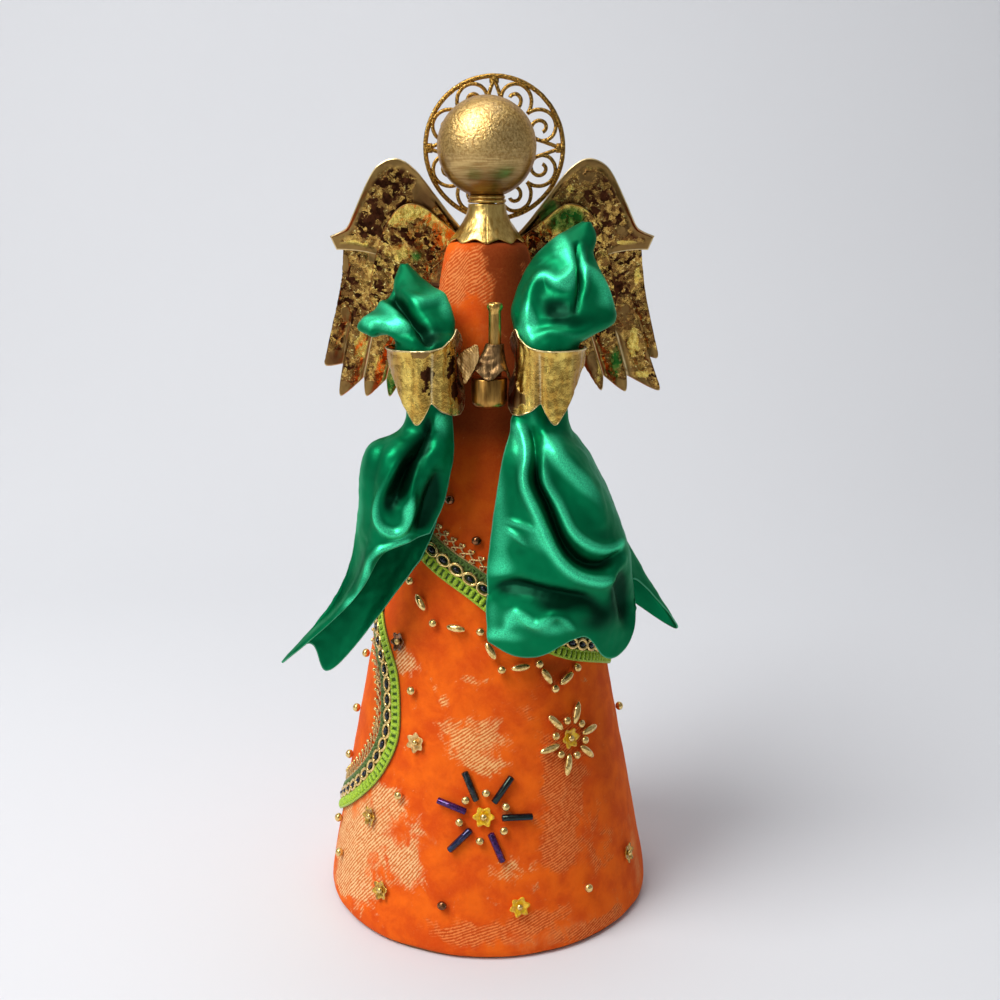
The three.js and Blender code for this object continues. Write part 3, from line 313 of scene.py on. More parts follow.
def velvet_look():
    look = Look("velvet", Roughness=0.9, Sheen_Weight=0.22, Sheen_Roughness=0.4)
    look.set(Sheen_Tint=tone(255, 170, 110), Specular_IOR_Level=0.08)
    around, up = look.value("around"), look.value("down")
    crush = look.span(look.grain(9, 4, 0.6, warp=0.3), 0.34, 0.68)
    colour = look.blend(crush, tone(216, 66, 2), tone(244, 100, 8))
    ragged = look.mixed(look.grain(6, 5, 0.7, warp=0.5), 1.0, 1.0, -0.5)
    # Pale flat pile, together with painted sheen where light grazes the velvet, in pale peach
    pale_pile_and_sheen = look.span(look.mixed(look.value("pale_pile_and_sheen"), 1.0, ragged, 1.4), 0.15, 0.85)
    colour = look.blend(look.times(pale_pile_and_sheen, 0.75), colour, tone(234, 164, 102))
    # Painted shade: the velvet turns dark red-brown where shadows fall on it
    colour = look.blend(look.span(look.value("deep"), 0.0, 1.0), colour, tone(118, 28, 2))
    for name, (slant, gap, line) in HATCHES.items():
        turn = math.radians(slant)
        over = look.mixed(around, -math.sin(turn), up, math.cos(turn))
        phase = look.mixed(over, FULL_TURN / PILE_PITCH, look.grain(6, 2, 0.5), 9.0)
        broken = look.mixed(look.sum("SINE", phase), 0.7, look.grain(1.2, 4, 0.8), 6.0)
        pile = look.span(broken, 2.5, 3.6)
        crushed = look.span(look.mixed(look.value(name), 1.0, ragged, 2.4), 0.3, 0.75)
        look.relief(look.times(pile, crushed), 0.12, 0.5)
        colour = look.blend(look.times(crushed, 0.85), colour, look.blend(pile, gap, line))
    nap = look.grain(0.7, 3, 0.7)
    look.relief(nap, 0.12, 0.6)
    return look.set(Base_Color=look.blend(look.times(nap, 0.2), colour, tone(250, 150, 70)))


def satin_look():
    """Satin with painted shade in its folds and a painted highlight, with the grain of its weave, along their
    ridges.
    """
    look = Look("satin", Metallic=0.6, Specular_IOR_Level=0.3)
    fold = look.value("fold")
    weave = look.grain(0.36, 2, 0.7)
    body = look.blend(look.span(look.grain(16, 2), 0.3, 0.7), tone(0, 104, 62), tone(0, 122, 74))
    # Painted shade in the folds' hollows and a painted highlight on their ridges, from the fold value
    painted_fold_shade = look.span(fold, -0.1, -1.9)
    speckle = look.between(look.span(weave, 0.3, 0.7), 0.45, 1.0)
    shine = look.times(look.span(fold, 0.1, 1.5), speckle)
    colour = look.blend(look.times(painted_fold_shade, 0.9), body, tone(0, 22, 12))
    colour = look.blend(shine, colour, tone(80, 250, 184))
    # Painted highlight along the hem's rolled edge, in pale mint
    hem = look.span(look.value("edge"), 0.55, 0.15)
    look.relief(weave, 0.05, 0.5)
    look.relief(look.grain(2.4, 2), 0.08, 0.2)
    look.set(Roughness=look.between(weave, 0.3, 0.46), Specular_Tint=tone(140, 255, 210))
    return look.set(Base_Color=look.blend(look.times(hem, 0.45), colour, tone(120, 214, 172)))


def foil_look(name, leaf, shade, border, bias=0.0, streaked=False, rim=0.8):
    """Gold leaf that breaks into dark flakes where it is worn, and is smooth at its border."""
    look = Look(name, Metallic=1.0)
    flakes = look.grain(2.5, 7, 0.6, warp=0.3)
    worn = look.span(look.mixed(flakes, 1.0, look.value("wear_and_highlight"), 0.2), 0.55 - bias, 0.57 - bias)
    edge = look.mixed(look.value("edge"), 1.0, look.grain(3, 1), -0.8)
    smooth = look.span(look.mixed(look.value("smooth"), 1.0, flakes, 1.0), 0.85, 1.0)
    flaked = look.times(look.span(edge, border * 0.6 - 0.4, border * 1.2), look.sum("SUBTRACT", 1.0, smooth))
    if streaked:
        folds = look.grain(2.8, 4, 0.6, where=look.stretched(1, 1, 0.3), warp=0.5)
        gold = look.blend(look.span(folds, 0.35, 0.65), leaf, shade)
        # Painted shade: the petals turn browner towards their sides, away from their lit middles
        sides = look.span(look.value("core"), 0.5, 0.0)
        gold = look.blend(look.times(sides, 0.6), gold, tone(168, 122, 66))
    else:
        folds = look.grain(2.4, 6, 0.62, seed=4.0)
        brown = look.span(folds, 0.49, 0.51)
        fine = look.grain(1.1, 3, 0.7, seed=2.0)
        gold = look.blend(look.span(fine, 0.4, 0.6), leaf, shade)
        gold = look.blend(look.times(brown, 0.85), gold, tone(116, 80, 42))
        # Painted glints: small bright pale-gold specks of highlight
        gold = look.blend(look.span(look.grain(0.9, 4, 0.7, seed=8.0), 0.61, 0.63), gold, tone(255, 236, 150))
        # Below zero the spots give whole bright leaf, used here as a painted highlight
        whole_leaf_and_highlight = look.span(look.mixed(look.value("wear_and_highlight"), -1.0, flakes, 2.4), 1.7, 1.9)
        bright_leaf_and_highlight = look.blend(look.span(fine, 0.35, 0.65), tone(255, 228, 122), tone(224, 184, 80))
        gold = look.blend(whole_leaf_and_highlight, gold, bright_leaf_and_highlight)
    bare = look.blend(look.span(folds, 0.4, 0.6), tone(44, 22, 12), tone(78, 44, 26))
    colour = look.blend(worn, gold, bare)
    colour = look.blend(flaked, look.blend(look.grain(4, 2), tone(158, 128, 76), tone(134, 102, 56)), colour)
    reflection_and_shade = look.value("reflection_and_shade")
    ragged = look.mixed(flakes, 1.6, 1.0, -0.8)
    # Painted reflection: green where the satin would be mirrored in the leaf
    green = look.span(look.mixed(reflection_and_shade, 1.0, ragged, 1.0), 0.25, 0.75)
    colour = look.blend(look.times(green, 0.75), colour, tone(34, 122, 46))
    # Painted shade: dark brown where the leaf lies in shadow or faces away from the light
    colour = look.blend(look.times(look.span(reflection_and_shade, -0.1, -1.0), 0.8), colour, tone(92, 50, 32))
    # Painted highlight: a pale line along the sheet's edges and the cuff's crease, as strong as rim
    pale = look.sum("MAXIMUM", look.span(look.value("edge"), 0.5, 0.2), look.value("pale"))
    look.relief(look.times(flakes, flaked), 0.6, 0.75)
    look.relief(folds, 0.4, 0.5)
    look.set(Roughness=look.between(flaked, 0.36, look.between(worn, 0.22, 0.42)))
    return look.set(Base_Color=look.blend(look.times(pale, rim), colour, tone(238, 214, 158)))


def smooth_look(name, light, dark, size, roughness, depth=0.1):
    """Thin rolled metal with soft upright streaks."""
    look = Look(name, Metallic=1.0)
    streaks = look.grain(size, 3, 0.6, where=look.stretched(1, 1, 0.16))
    look.relief(streaks, depth, 0.5)
    look.relief(look.grain(size * 1.6, 2), depth, 0.4)
    look.set(Roughness=look.between(streaks, roughness, roughness * 1.4))
    return look.set(Base_Color=look.blend(look.span(streaks, 0.3, 0.7), dark, light))


def head_look():
    """Gilded wood, hammered above and turned in fine rings below."""
    look = Look("head_gold", Metallic=1.0, Coat_Weight=0.5, Coat_Roughness=0.2)
    crinkle = look.grain(0.85, 3, 0.7)
    upper = look.span(look.height(), *((HEAD_Z + z) * MM for z in HEAD_HAMMERED))
    rings = look.grain(0.5, 2, 0.6, where=look.stretched(0.06, 0.06, 1))
    skin = look.between(upper, rings, crinkle)
    look.relief(look.times(crinkle, look.between(upper, 0.15, 1.0)), 0.45, 0.8)
    look.relief(look.times(rings, look.between(upper, 1.0, 0.0)), 0.15, 0.4)
    look.set(Roughness=look.between(crinkle, 0.24, 0.42), Specular_Tint=tone(196, 158, 96))
    gold = look.blend(look.span(skin, 0.35, 0.65), tone(240, 204, 132), tone(182, 140, 76))
    # Painted shade: the head darkens to brown-gold towards its bottom
    lower_shade = look.span(look.height(), *((HEAD_Z + z) * MM for z in HEAD_LOWER_SHADE))
    return look.set(Base_Color=look.blend(look.times(lower_shade, 0.75), gold, tone(120, 90, 44)))


def grainy_look(name, light, dark, size, depth, roughness):
    """Cast metal with a granular skin, dark in its hollows, with painted glints on its grains."""
    look = Look(name, Metallic=1.0, Roughness=roughness)
    grit = look.grain(size, 3, 0.7)
    look.relief(grit, depth, 0.9)
    colour = look.blend(look.span(grit, 0.36, 0.6), dark, light)
    # Painted glints: pale gold specks of highlight on the highest grains
    return look.set(Base_Color=look.blend(look.span(grit, 0.58, 0.66), colour, tone(255, 234, 150)))


def bead_look(name, light, dark, roughness=0.18, metal=0.9, film=0.0, coat=0.4):
    look = Look(name, Metallic=metal, Roughness=roughness, Coat_Weight=coat, Coat_Roughness=0.08)
    look.set(Thin_Film_Thickness=film)
    grit = look.grain(0.9, 2)
    look.relief(grit, 0.08, 0.4)
    return look.set(Base_Color=look.blend(look.span(grit, 0.35, 0.65), dark, light))


def thread_look(name, light, dark, metal, roughness):
    look = Look(name, Metallic=metal, Roughness=roughness, Sheen_Weight=0.2)
    ply = look.grain(0.35, 2, 0.6)
    look.relief(ply, 0.12, 0.8)
    return look.set(Base_Color=look.blend(look.span(ply, 0.3, 0.65), dark, light))


def plain_look(name, light, dark, size, roughness, metal=0.0):
    look = Look(name, Roughness=roughness, Metallic=metal)
    grit = look.grain(size, 3, 0.6)
    look.relief(grit, 0.1, 0.5)
    return look.set(Base_Color=look.blend(grit, light, dark))


GOLD_LEAF = tone(214, 174, 92)
GOLD_SHADE = tone(164, 122, 60)
LOOKS = {
    "velvet": velvet_look(),
    "satin": satin_look(),
    "covert": foil_look("covert_foil", GOLD_LEAF, GOLD_SHADE, 2.8),
    "leaf": foil_look("leaf_foil", tone(232, 196, 100), GOLD_SHADE, 0.0, 0.02, rim=0.0),
    "feather": foil_look("feather_foil", GOLD_LEAF, GOLD_SHADE, 0.8, -0.015),
    "cuff": foil_look("cuff_leaf", tone(248, 216, 112), tone(206, 160, 72), 0.0, -0.2, True),
    "calyx": smooth_look("calyx_foil", tone(156, 124, 82), tone(92, 68, 44), 1.2, 0.34, 0.5),
    "kite": smooth_look("kite_foil", tone(226, 190, 126), tone(156, 116, 68), 1.0, 0.32, 0.4),
    "head": head_look(),
    "halo": grainy_look("halo_gold", tone(196, 150, 70), tone(84, 54, 24), 0.55, 0.3, 0.22),
    "collar": smooth_look("collar_gold", tone(240, 206, 122), tone(200, 156, 78), 1.3, 0.26, 0.2),
    "candle": smooth_look("candle_gold", tone(226, 184, 104), tone(178, 134, 66), 0.8, 0.24),
    "socket": smooth_look("socket_gold", tone(206, 158, 82), tone(130, 90, 42), 1.5, 0.24),
    "bead": bead_look("gold_bead", tone(250, 220, 146), tone(206, 164, 88), 0.12, 0.85, coat=0.0),
    "brown_bead": bead_look("brown_bead", tone(150, 96, 52), tone(92, 52, 26)),
    "amber": bead_look("amber_sequin", tone(234, 186, 68), tone(160, 110, 38), 0.2, 0.6),
    "black_bead": bead_look("black_bead", tone(30, 32, 44), tone(12, 12, 18), 0.1, 0.5, 420.0),
    "purple_bead": bead_look("purple_bead", tone(88, 36, 104), tone(52, 18, 70), 0.12, 0.6, 380.0),
    "navy_bead": bead_look("navy_bead", tone(40, 48, 96), tone(20, 24, 56), 0.12, 0.6, 460.0),
    "teal_bead": bead_look("teal_bead", tone(36, 62, 64), tone(16, 28, 32), 0.12, 0.6, 500.0),
    "braid_bead": bead_look("braid_bead", tone(40, 40, 62), tone(14, 12, 22), 0.12, 0.6, 440.0),
    "yellow": bead_look("yellow_sequin", tone(255, 208, 24), tone(222, 158, 8), 0.3, 0.15),
    "cream": bead_look("cream_sequin", tone(236, 196, 126), tone(206, 156, 84), 0.28, 0.5),
    "lime": thread_look("lime_thread", tone(184, 216, 40), tone(112, 152, 16), 0.0, 0.6),
    "green": thread_look("green_thread", tone(92, 124, 26), tone(44, 70, 14), 0.0, 0.65),
    "gold_thread": thread_look("gold_thread", tone(240, 206, 136), tone(160, 118, 62), 0.7, 0.32),
    "card": plain_look("card", tone(150, 112, 74), tone(112, 80, 50), 1.5, 0.9),
    "wood": plain_look("wood", tone(206, 166, 112), tone(168, 124, 76), 2.5, 0.75),
    "wire": plain_look("wire", tone(120, 84, 56), tone(72, 46, 30), 1.2, 0.4, 0.9),
}


# Meshes


def piece(name, vertices, faces, look, nodes=(), values=None):
    """A smooth mesh in millimetres that rides on the figure and stands for those CAD nodes."""
    mesh = bpy.data.meshes.new(name)
    mesh.from_pydata((np.asarray(vertices, float) * MM).tolist(), [], [list(f) for f in faces])
    mesh.polygons.foreach_set("use_smooth", [True] * len(mesh.polygons))
    for label, numbers in (values or {}).items():
        stored = mesh.attributes.new(label, "FLOAT", "POINT")
        stored.data.foreach_set("value", np.asarray(numbers, np.float32))
    mesh.materials.append(LOOKS[look])
    made = bpy.data.objects.new(name, mesh)
    bpy.context.scene.collection.objects.link(made)
    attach(made, "root")
    if nodes:
        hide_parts(*nodes)
    return made


def spline(points, shares):
    """A smooth curve through points, which may be rows of points, read at shares from 0 to 1."""
    knots = np.asarray(points, float)
    last = len(knots) - 1
    flat = knots.reshape(last + 1, -1)
    system = np.eye(last + 1)
    target = np.zeros_like(flat)
    for i in range(1, last):
        system[i, i - 1:i + 2] = (1, 4, 1)
        target[i] = 6 * (flat[i + 1] - 2 * flat[i] + flat[i - 1])
    bend = np.linalg.solve(system, target)
    at = np.clip(np.asarray(shares, float), 0, 1) * last
    low = np.minimum(at.astype(int), last - 1)
    t = (at - low)[:, None]
    start = flat[low] - bend[low] / 6
    end = flat[low + 1] - bend[low + 1] / 6
    curve = (bend[low] * (1 - t) ** 3 + bend[low + 1] * t ** 3) / 6 + start * (1 - t) + end * t
    return curve.reshape((len(at),) + knots.shape[1:])


def shares(count):
    return np.linspace(0, 1, count)


def smoothstep(value, low, high):
    t = np.clip((np.asarray(value, float) - low) / (high - low), 0, 1)
    return t * t * (3 - 2 * t)


def swell(share):
    """A sine's rise and fall as the share goes from 0 to 1."""
    return np.sin(math.pi * np.clip(share, 0, 1))


def hump(value, at, spread):
    """1 where the value is at its place, falling away on both sides."""
    return np.exp(-((value - at) / spread) ** 2)


def lumps(points, size, seed=0.0):
    """Noise at each point, about -1 to 1, with lumps of this many millimetres."""
    flat = np.asarray(points, float).reshape(-1, 3) / size + seed
    found = np.array([noise.noise(Vector(p)) for p in flat])
    return found.reshape(np.shape(points)[:-1])


def dents(points, kind, seed=0):
    """How deep the dents of this kind are at each point."""
    return sum(depth * lumps(points, size, seed + more) for depth, size, more in DENTS[kind])


def normals_of(grid):
    """Unit normals of a grid of points, rows by columns."""
    normal = np.cross(np.gradient(grid, axis=1), np.gradient(grid, axis=0))
    return normal / np.maximum(np.linalg.norm(normal, axis=-1, keepdims=True), 1e-9)


def lengths(grid, axis):
    """How far each grid point is along its row or column, in millimetres."""
    steps = np.linalg.norm(np.diff(grid, axis=axis), axis=-1)
    pad = [(1, 0) if i == axis else (0, 0) for i in range(2)]
    return np.pad(np.cumsum(steps, axis=axis), pad)


def sheet(name, grid, thickness, look, nodes=(), values=None, free_top=True):
    """A closed thin solid over a grid of points, with half its thickness on each side."""
    rows, columns = grid.shape[:2]
    half = normals_of(grid) * thickness / 2
    vertices = np.concatenate([(grid + half).reshape(-1, 3), (grid - half).reshape(-1, 3)])
    index = np.arange(rows * columns).reshape(rows, columns)
    a, b = index[:-1, :-1].ravel(), index[:-1, 1:].ravel()
    d, c = index[1:, :-1].ravel(), index[1:, 1:].ravel()
    back = rows * columns
    faces = [np.stack([d, c, b, a], 1), np.stack([a, b, c, d], 1) + back]
    rim = np.concatenate([index[0, :], index[1:, -1], index[-1, -2::-1], index[-2:0:-1, 0]])
    after = np.roll(rim, -1)
    faces.append(np.stack([rim, after, after + back, rim + back], 1))
    across = lengths(grid, 1)
    down = lengths(grid, 0)
    edge = np.minimum(np.minimum(across, across[:, -1:] - across), down[-1:] - down)
    if free_top:
        edge = np.minimum(edge, down)
    stored = {"edge": edge, "down": down, **(values or {})}
    stored = {key: np.tile(np.ravel(value), 2) for key, value in stored.items()}
    return piece(name, vertices, np.concatenate(faces).tolist(), look, nodes, stored)


def around_z(radius, angles, z):
    """Points round the Z axis, with angles from the front."""
    return np.stack(np.broadcast_arrays(radius * np.sin(angles), -radius * np.cos(angles), z), -1)


def skinned(rings, looped=False):
    """Points and faces of a skin over rings of points, capped at both ends or closed into a loop."""
    rings = np.asarray(rings, float)
    index = np.arange(rings.shape[0] * rings.shape[1]).reshape(rings.shape[:2])
    last = np.roll(index, -1, axis=0) if looped else index[1:]
    first = index if looped else index[:-1]
    around = np.stack([first, np.roll(first, -1, 1), np.roll(last, -1, 1), last], -1)
    faces = around.reshape(-1, 4).tolist()
    if not looped:
        faces += [index[0, ::-1].tolist(), index[-1].tolist()]
    return rings.reshape(-1, 3), faces


def full_turn(count):
    return np.arange(count) / count * FULL_TURN


def lathe(profile, sides):
    """A profile of (radius, z) pairs turned about the Z axis and closed flat at both ends."""
    radius, z = np.asarray(profile, float).T
    return skinned(around_z(radius[:, None], full_turn(sides), z[:, None]))


def ball(columns=16, rows=10):
    """A unit ball."""
    angles = np.linspace(-math.pi / 2, math.pi / 2, rows + 1)[1:-1]
    vertices, faces = lathe([(math.cos(a), math.sin(a)) for a in angles], columns)
    south, north = len(vertices), len(vertices) + 1
    low, high = np.arange(columns), np.arange(south - columns, south)
    faces = faces[:-2]
    faces += [[south, b, a] for a, b in zip(low, np.roll(low, -1))]
    faces += [[north, a, b] for a, b in zip(high, np.roll(high, -1))]
    return np.concatenate([vertices, [[0, 0, -1.0], [0, 0, 1.0]]]), faces


def tube(points, half_width, half_depth, side, sides=8, looped=False):
    """A bar of oval section along points. Side is the direction of its half depth."""
    line = np.asarray(points, float)
    if looped:
        ahead, behind = np.roll(line, -1, axis=0), np.roll(line, 1, axis=0)
    else:
        ahead, behind = np.vstack([line[1:], line[-1:]]), np.vstack([line[:1], line[:-1]])
    depth = np.broadcast_to(np.asarray(side, float), line.shape)
    width = np.cross(ahead - behind, depth)
    width = width / np.maximum(np.linalg.norm(width, axis=1, keepdims=True), 1e-9)
    angles = full_turn(sides)[None, :, None]
    ring = np.cos(angles) * width[:, None] * half_width + np.sin(angles) * depth[:, None] * half_depth
    return skinned(line[:, None] + ring, looped)


class Batch:
    """Several small bodies gathered in one piece."""

    def __init__(self):
        self.vertices = []
        self.faces = []
        self.count = 0

    def add(self, shape, axes=None, at=(0, 0, 0), size=(1, 1, 1)):
        vertices, faces = shape
        placed = vertices * np.asarray(size, float)
        if axes is not None:
            placed = placed @ np.asarray(axes, float)
        self.vertices.append(placed + np.asarray(at, float))
        self.faces += [[i + self.count for i in face] for face in faces]
        self.count += len(vertices)

    def sew(self, shape, place, lift, size, roll=0.0):
        """Adds a shape on the velvet at (degrees, z), this far off it and turned from level by a roll."""
        axes = skirt_axes(place[0], roll)
        self.add(shape, axes, on_skirt(*place) + axes[2] * (lift + FIT_GAP), size)

    def piece(self, name, look, slot, nodes=()):
        return piece(name, np.concatenate(self.vertices), self.faces, look, nodes)


# Places on the skirt


def skirt_radius(z):
    return SKIRT_BASE_R - SKIRT_SLOPE * z


def on_skirt(degrees, z, lift=0.0):
    angle = np.radians(degrees)
    radius = skirt_radius(np.asarray(z, float)) + lift
    return np.stack([radius * np.sin(angle), -radius * np.cos(angle), z + lift * SKIRT_SLOPE], -1)


def skirt_axes(degrees, roll=0.0):
    """Along, across and out of the velvet at an angle, turned by a roll in degrees from level."""
    angle = math.radians(degrees)
    tilt = math.atan(SKIRT_SLOPE)
    right = np.array([math.cos(angle), math.sin(angle), 0])
    out = np.array([math.sin(angle), -math.cos(angle), 0])
    up = np.array([0, 0, math.cos(tilt)]) - out * math.sin(tilt)
    normal = np.cross(right, up)
    turn = math.radians(roll)
    along = right * math.cos(turn) + up * math.sin(turn)
    return np.array([along, np.cross(normal, along), normal])


def outside_skirt(points, clearance):
    """Points moved out to where cloth would lie on the skirt, if they are nearer the axis."""
    radius = np.hypot(points[..., 0], points[..., 1])
    least = skirt_radius(points[..., 2]) + clearance
    factor = np.where(radius < least, least / np.maximum(radius, 1e-6), 1.0)
    moved = points.copy()
    moved[..., :2] *= factor[..., None]
    return moved


# Skirt

# Where the velvet is crushed, for each hatch: (degrees, z, half width, half height), and a strength if not 1
CRUSHED = {
    "torso": [(-20, 206, 6, 6), (-46, 203, 5, 7), (-8, 200, 4, 4, 0.5), (-66, 199, 6, 5),
              (62, 203, 4, 5, 0.8)],
    "middle": [(-7, 67, 11, 7), (-18.5, 77.6, 2, 2.5, 0.7), (0, 59, 6, 2.5), (-23.8, 81, 1.5, 3, 0.6),
               (-8, 84, 6, 3, 0.35), (178, 40, 14, 9), (110, 120, 9, 7), (8, 28, 9, 5, 0.5)],
    "left": [(-50, 33, 9, 10), (-42, 44, 7, 4), (-31, 27, 8, 7), (-27, 38, 2, 4, 0.7), (-70, 22, 12, 12),
             (-43, 87, 5, 4), (-58, 12, 14, 8), (-140, 90, 12, 12)],
    "right": [(36, 56, 12, 20, 0.6), (30, 46, 6, 10), (28, 31, 7, 7), (18, 11, 9, 4), (41, 4, 16, 3),
              (-5, 8, 14, 4), (150, 60, 12, 12), (48, 26, 8, 9, 0.6), (12, 78, 8, 6, 0.3)],
}
# Where its pile lies flat and looks pale, and where a painted sheen lightens it as if light grazed it
PALE_PILE_AND_SHEEN = [(-66, 22, 16, 16, 0.9), (-50, 36, 10, 10, 0.6), (-8, 67, 11, 5, 0.45), (-36, 204, 5, 9, 0.6),
         (29, 40, 6, 14, 0.35), (-6, 187, 5, 9, 0.2), (-28, 30, 8, 8, 0.4), (20, 6, 30, 5, 0.4),
         (72, 16, 6, 14, 0.5), (170, 60, 30, 30, 0.5), (-120, 110, 20, 30, 0.4)]
# Painted shade on the velvet: dark where shadows fall under the arms, cuffs, collar and drapes, and towards
# its right side
VELVET_PAINTED_SHADE = [(30, 194, 8, 24, 1.0), (0, 168, 16, 12, 1.4), (2, 144, 12, 12, 0.4), (24, 210, 10, 6, 0.7),
        (-34, 170, 8, 10, 0.7), (-6, 128, 8, 8, 0.4), (60, 190, 12, 30, 0.7), (33, 87, 8, 4, 0.6),
        (58, 56, 9, 26, 0.3), (-38, 98, 9, 9, 0.3)]


def velvet():
    rows, columns = GRIDS["velvet"]
    straight = [(skirt_radius(z) + VELVET_NAP, z) for z in np.linspace(*VELVET_STRAIGHT, rows)]
    hem, shoulder = (list(spline(end, shares(VELVET_END_ROWS))) for end in (VELVET_HEM, VELVET_SHOULDER))
    profile = np.array(hem + straight + shoulder)
    angles = np.radians(np.linspace(-SEAM_DEG, SEAM_DEG, columns))
    pulled = TORSO_PULL * smoothstep(profile[:, 1], *TORSO_Z) * smoothstep(profile[:, 0], *TORSO_R)
    radius = (profile[:, 0] - VELVET_T / 2 - pulled)[:, None]
    grid = around_z(radius, angles, profile[:, 1:])
    z = grid[..., 2]
    crush = dents(grid, "velvet") + dents(grid, "hem") * smoothstep(z, *HEM_RIPPLE_Z)
    grid = grid + normals_of(grid) * (crush * smoothstep(z, *VELVET_DENTED_Z))[..., None]
    values = {"around": angles * radius}
    for name, patches in [*CRUSHED.items(), ("pale_pile_and_sheen", PALE_PILE_AND_SHEEN), ("deep", VELVET_PAINTED_SHADE)]:
        values[name] = np.zeros(grid.shape[:2])
        for degrees, middle, wide, high, *strength in patches:
            spot = hump((angles - math.radians(degrees)) * radius, 0, wide) * hump(grid[..., 2], middle, high)
            values[name] += spot * (strength[0] if strength else 1)
    made = sheet("velvet_skin", grid, VELVET_T, "velvet", ["velvet_cover"], values)


# Neck, head and halo


def collar():
    rows, columns = GRIDS["collar"]
    angles = np.linspace(0, FULL_TURN, columns)
    down = shares(rows)[:, None]
    wave = np.cos(COLLAR_SCALLOPS * angles)
    flare = down ** 2 * (1.5 - 0.5 * down)
    radius = COLLAR_TOP_R + (COLLAR_FLARE_R - COLLAR_TOP_R) * flare + COLLAR_WAVE * wave * down ** 2
    foot = COLLAR_FOOT_Z + COLLAR_NOTCH * (0.5 - 0.5 * wave)
    z = COLLAR_FOOT_Z + COLLAR_H + (foot - COLLAR_FOOT_Z - COLLAR_H) * down
    grid = around_z(radius, angles, z)
    grid = grid - normals_of(grid) * dents(grid, "collar")[..., None]
    sheet("collar_bell", grid, COLLAR_T, "collar", ["collar"])


def neck_ring():
    turns = np.linspace(-math.pi / 2, math.pi / 2, RING_BEAD_STEPS)
    ring = Batch()
    for inset, rise, bore in RING_BEADS:
        radius = RING_R - inset - RING_BEAD_R * (1 - np.cos(turns))
        z = RING_Z + rise + RING_BEAD_R * (1 + np.sin(turns))
        low, high = ((RING_BORE_R, RING_Z + end) for end in bore)
        ring.add(lathe([low, *zip(radius, z), high], TURNED["neck"]))
    ring.piece("neck_bead_ring", "candle", "collar_gold", ["neck_ring"])


def head():
    rows, columns = GRIDS["head"]
    vertices, faces = ball(columns, rows)
    skin = 1 + dents(vertices, "head")
    placed = vertices * skin[:, None] * HEAD_R + (0, 0, HEAD_Z)
    piece("head_skin", placed, faces, "head", ["head_ball"])


def halo():
    rim_inner = HALO_R - HALO_RIM_W
    rim_middle = HALO_R - HALO_RIM_W / 2
    pair = FULL_TURN / HALO_PAIRS
    start = math.pi / 2 + pair / 4
    per_centre = math.sin(pair / 4)

    def left(share):
        return (1 - share) ** HALO_EASE

    rim_left = left(start / (HALO_TURNS * FULL_TURN))
    touch = rim_inner + HALO_BITE - HALO_WIRE_W / 2
    centre = (touch - HALO_EYE * (1 - rim_left)) / (1 + per_centre * rim_left)

    def polar(radius, angle):
        return np.stack([radius * np.cos(angle), 0 * angle, radius * np.sin(angle)], -1)

    def scroll(at, sense, share):
        radius = HALO_EYE + (centre * per_centre - HALO_EYE) * left(share)
        turn = at + sense * (start - share * HALO_TURNS * FULL_TURN)
        return polar(centre, np.full_like(turn, at)) + polar(radius, turn)

    made = Batch()
    wire = HALO_SWELL * HALO_WIRE_W / 2

    def lay(points, half_width, closed=False):
        waver = [lumps(points, HALO_ROUGH["size"], seed) for seed in HALO_ROUGH["seeds"]]
        rough = points + HALO_ROUGH["depth"] * np.stack(waver, -1)
        made.add(tube(rough, half_width, HALO_T / 2, (0, 1, 0), HALO_BAR_SIDES, closed), at=HALO_AT)

    full = full_turn(HALO_STEPS["rim"])
    lay(polar(rim_middle, full), HALO_RIM_W / 2, True)
    lay(polar((HALO_HUB_R + HALO_WIRE_W) / 2, full[::4]), (HALO_HUB_R - HALO_WIRE_W) / 2, True)
    for k in range(2 * HALO_PAIRS):
        at = (k + 0.5) * pair / 2
        sense = 1 if k % 2 == 0 else -1
        joint = at - sense * pair / 4
        lay(scroll(at, sense, shares(HALO_STEPS["scroll"])), wire)
        leg_end = scroll(at, sense, np.array([HALO_LEG_SHARE]))[0]
        reach = np.linalg.norm(leg_end)
        bend = polar((rim_inner + reach) / 2, np.float64(joint + HALO_LEG_BEND * (at - joint)))
        leg = [polar(rim_middle, np.float64(joint)), polar(rim_inner, np.float64(joint)), bend, leg_end]
        lay(spline(leg, shares(HALO_STEPS["leg"])), wire)
        turned_in = (start + math.pi) / (HALO_TURNS * FULL_TURN)
        rib_end = centre - (HALO_EYE + (centre * per_centre - HALO_EYE) * left(turned_in))
        rib = [polar(rib_end, np.float64(at)), polar(HALO_HUB_R - HALO_RIB_BITE, np.float64(at))]
        lay(spline(rib, shares(HALO_STEPS["rib"])), wire)
        if sense > 0:
            block = [polar(r, np.float64(joint)) for r in (rim_middle, rim_inner - HALO_BLOCK["reach"])]
            lay(spline(block, shares(HALO_STEPS["block"])), HALO_BLOCK["half"])
    made.piece("halo_filigree", "halo", "halo_gold", ["halo"])


# Wings, as distances from their centre line and heights above the skirt's top

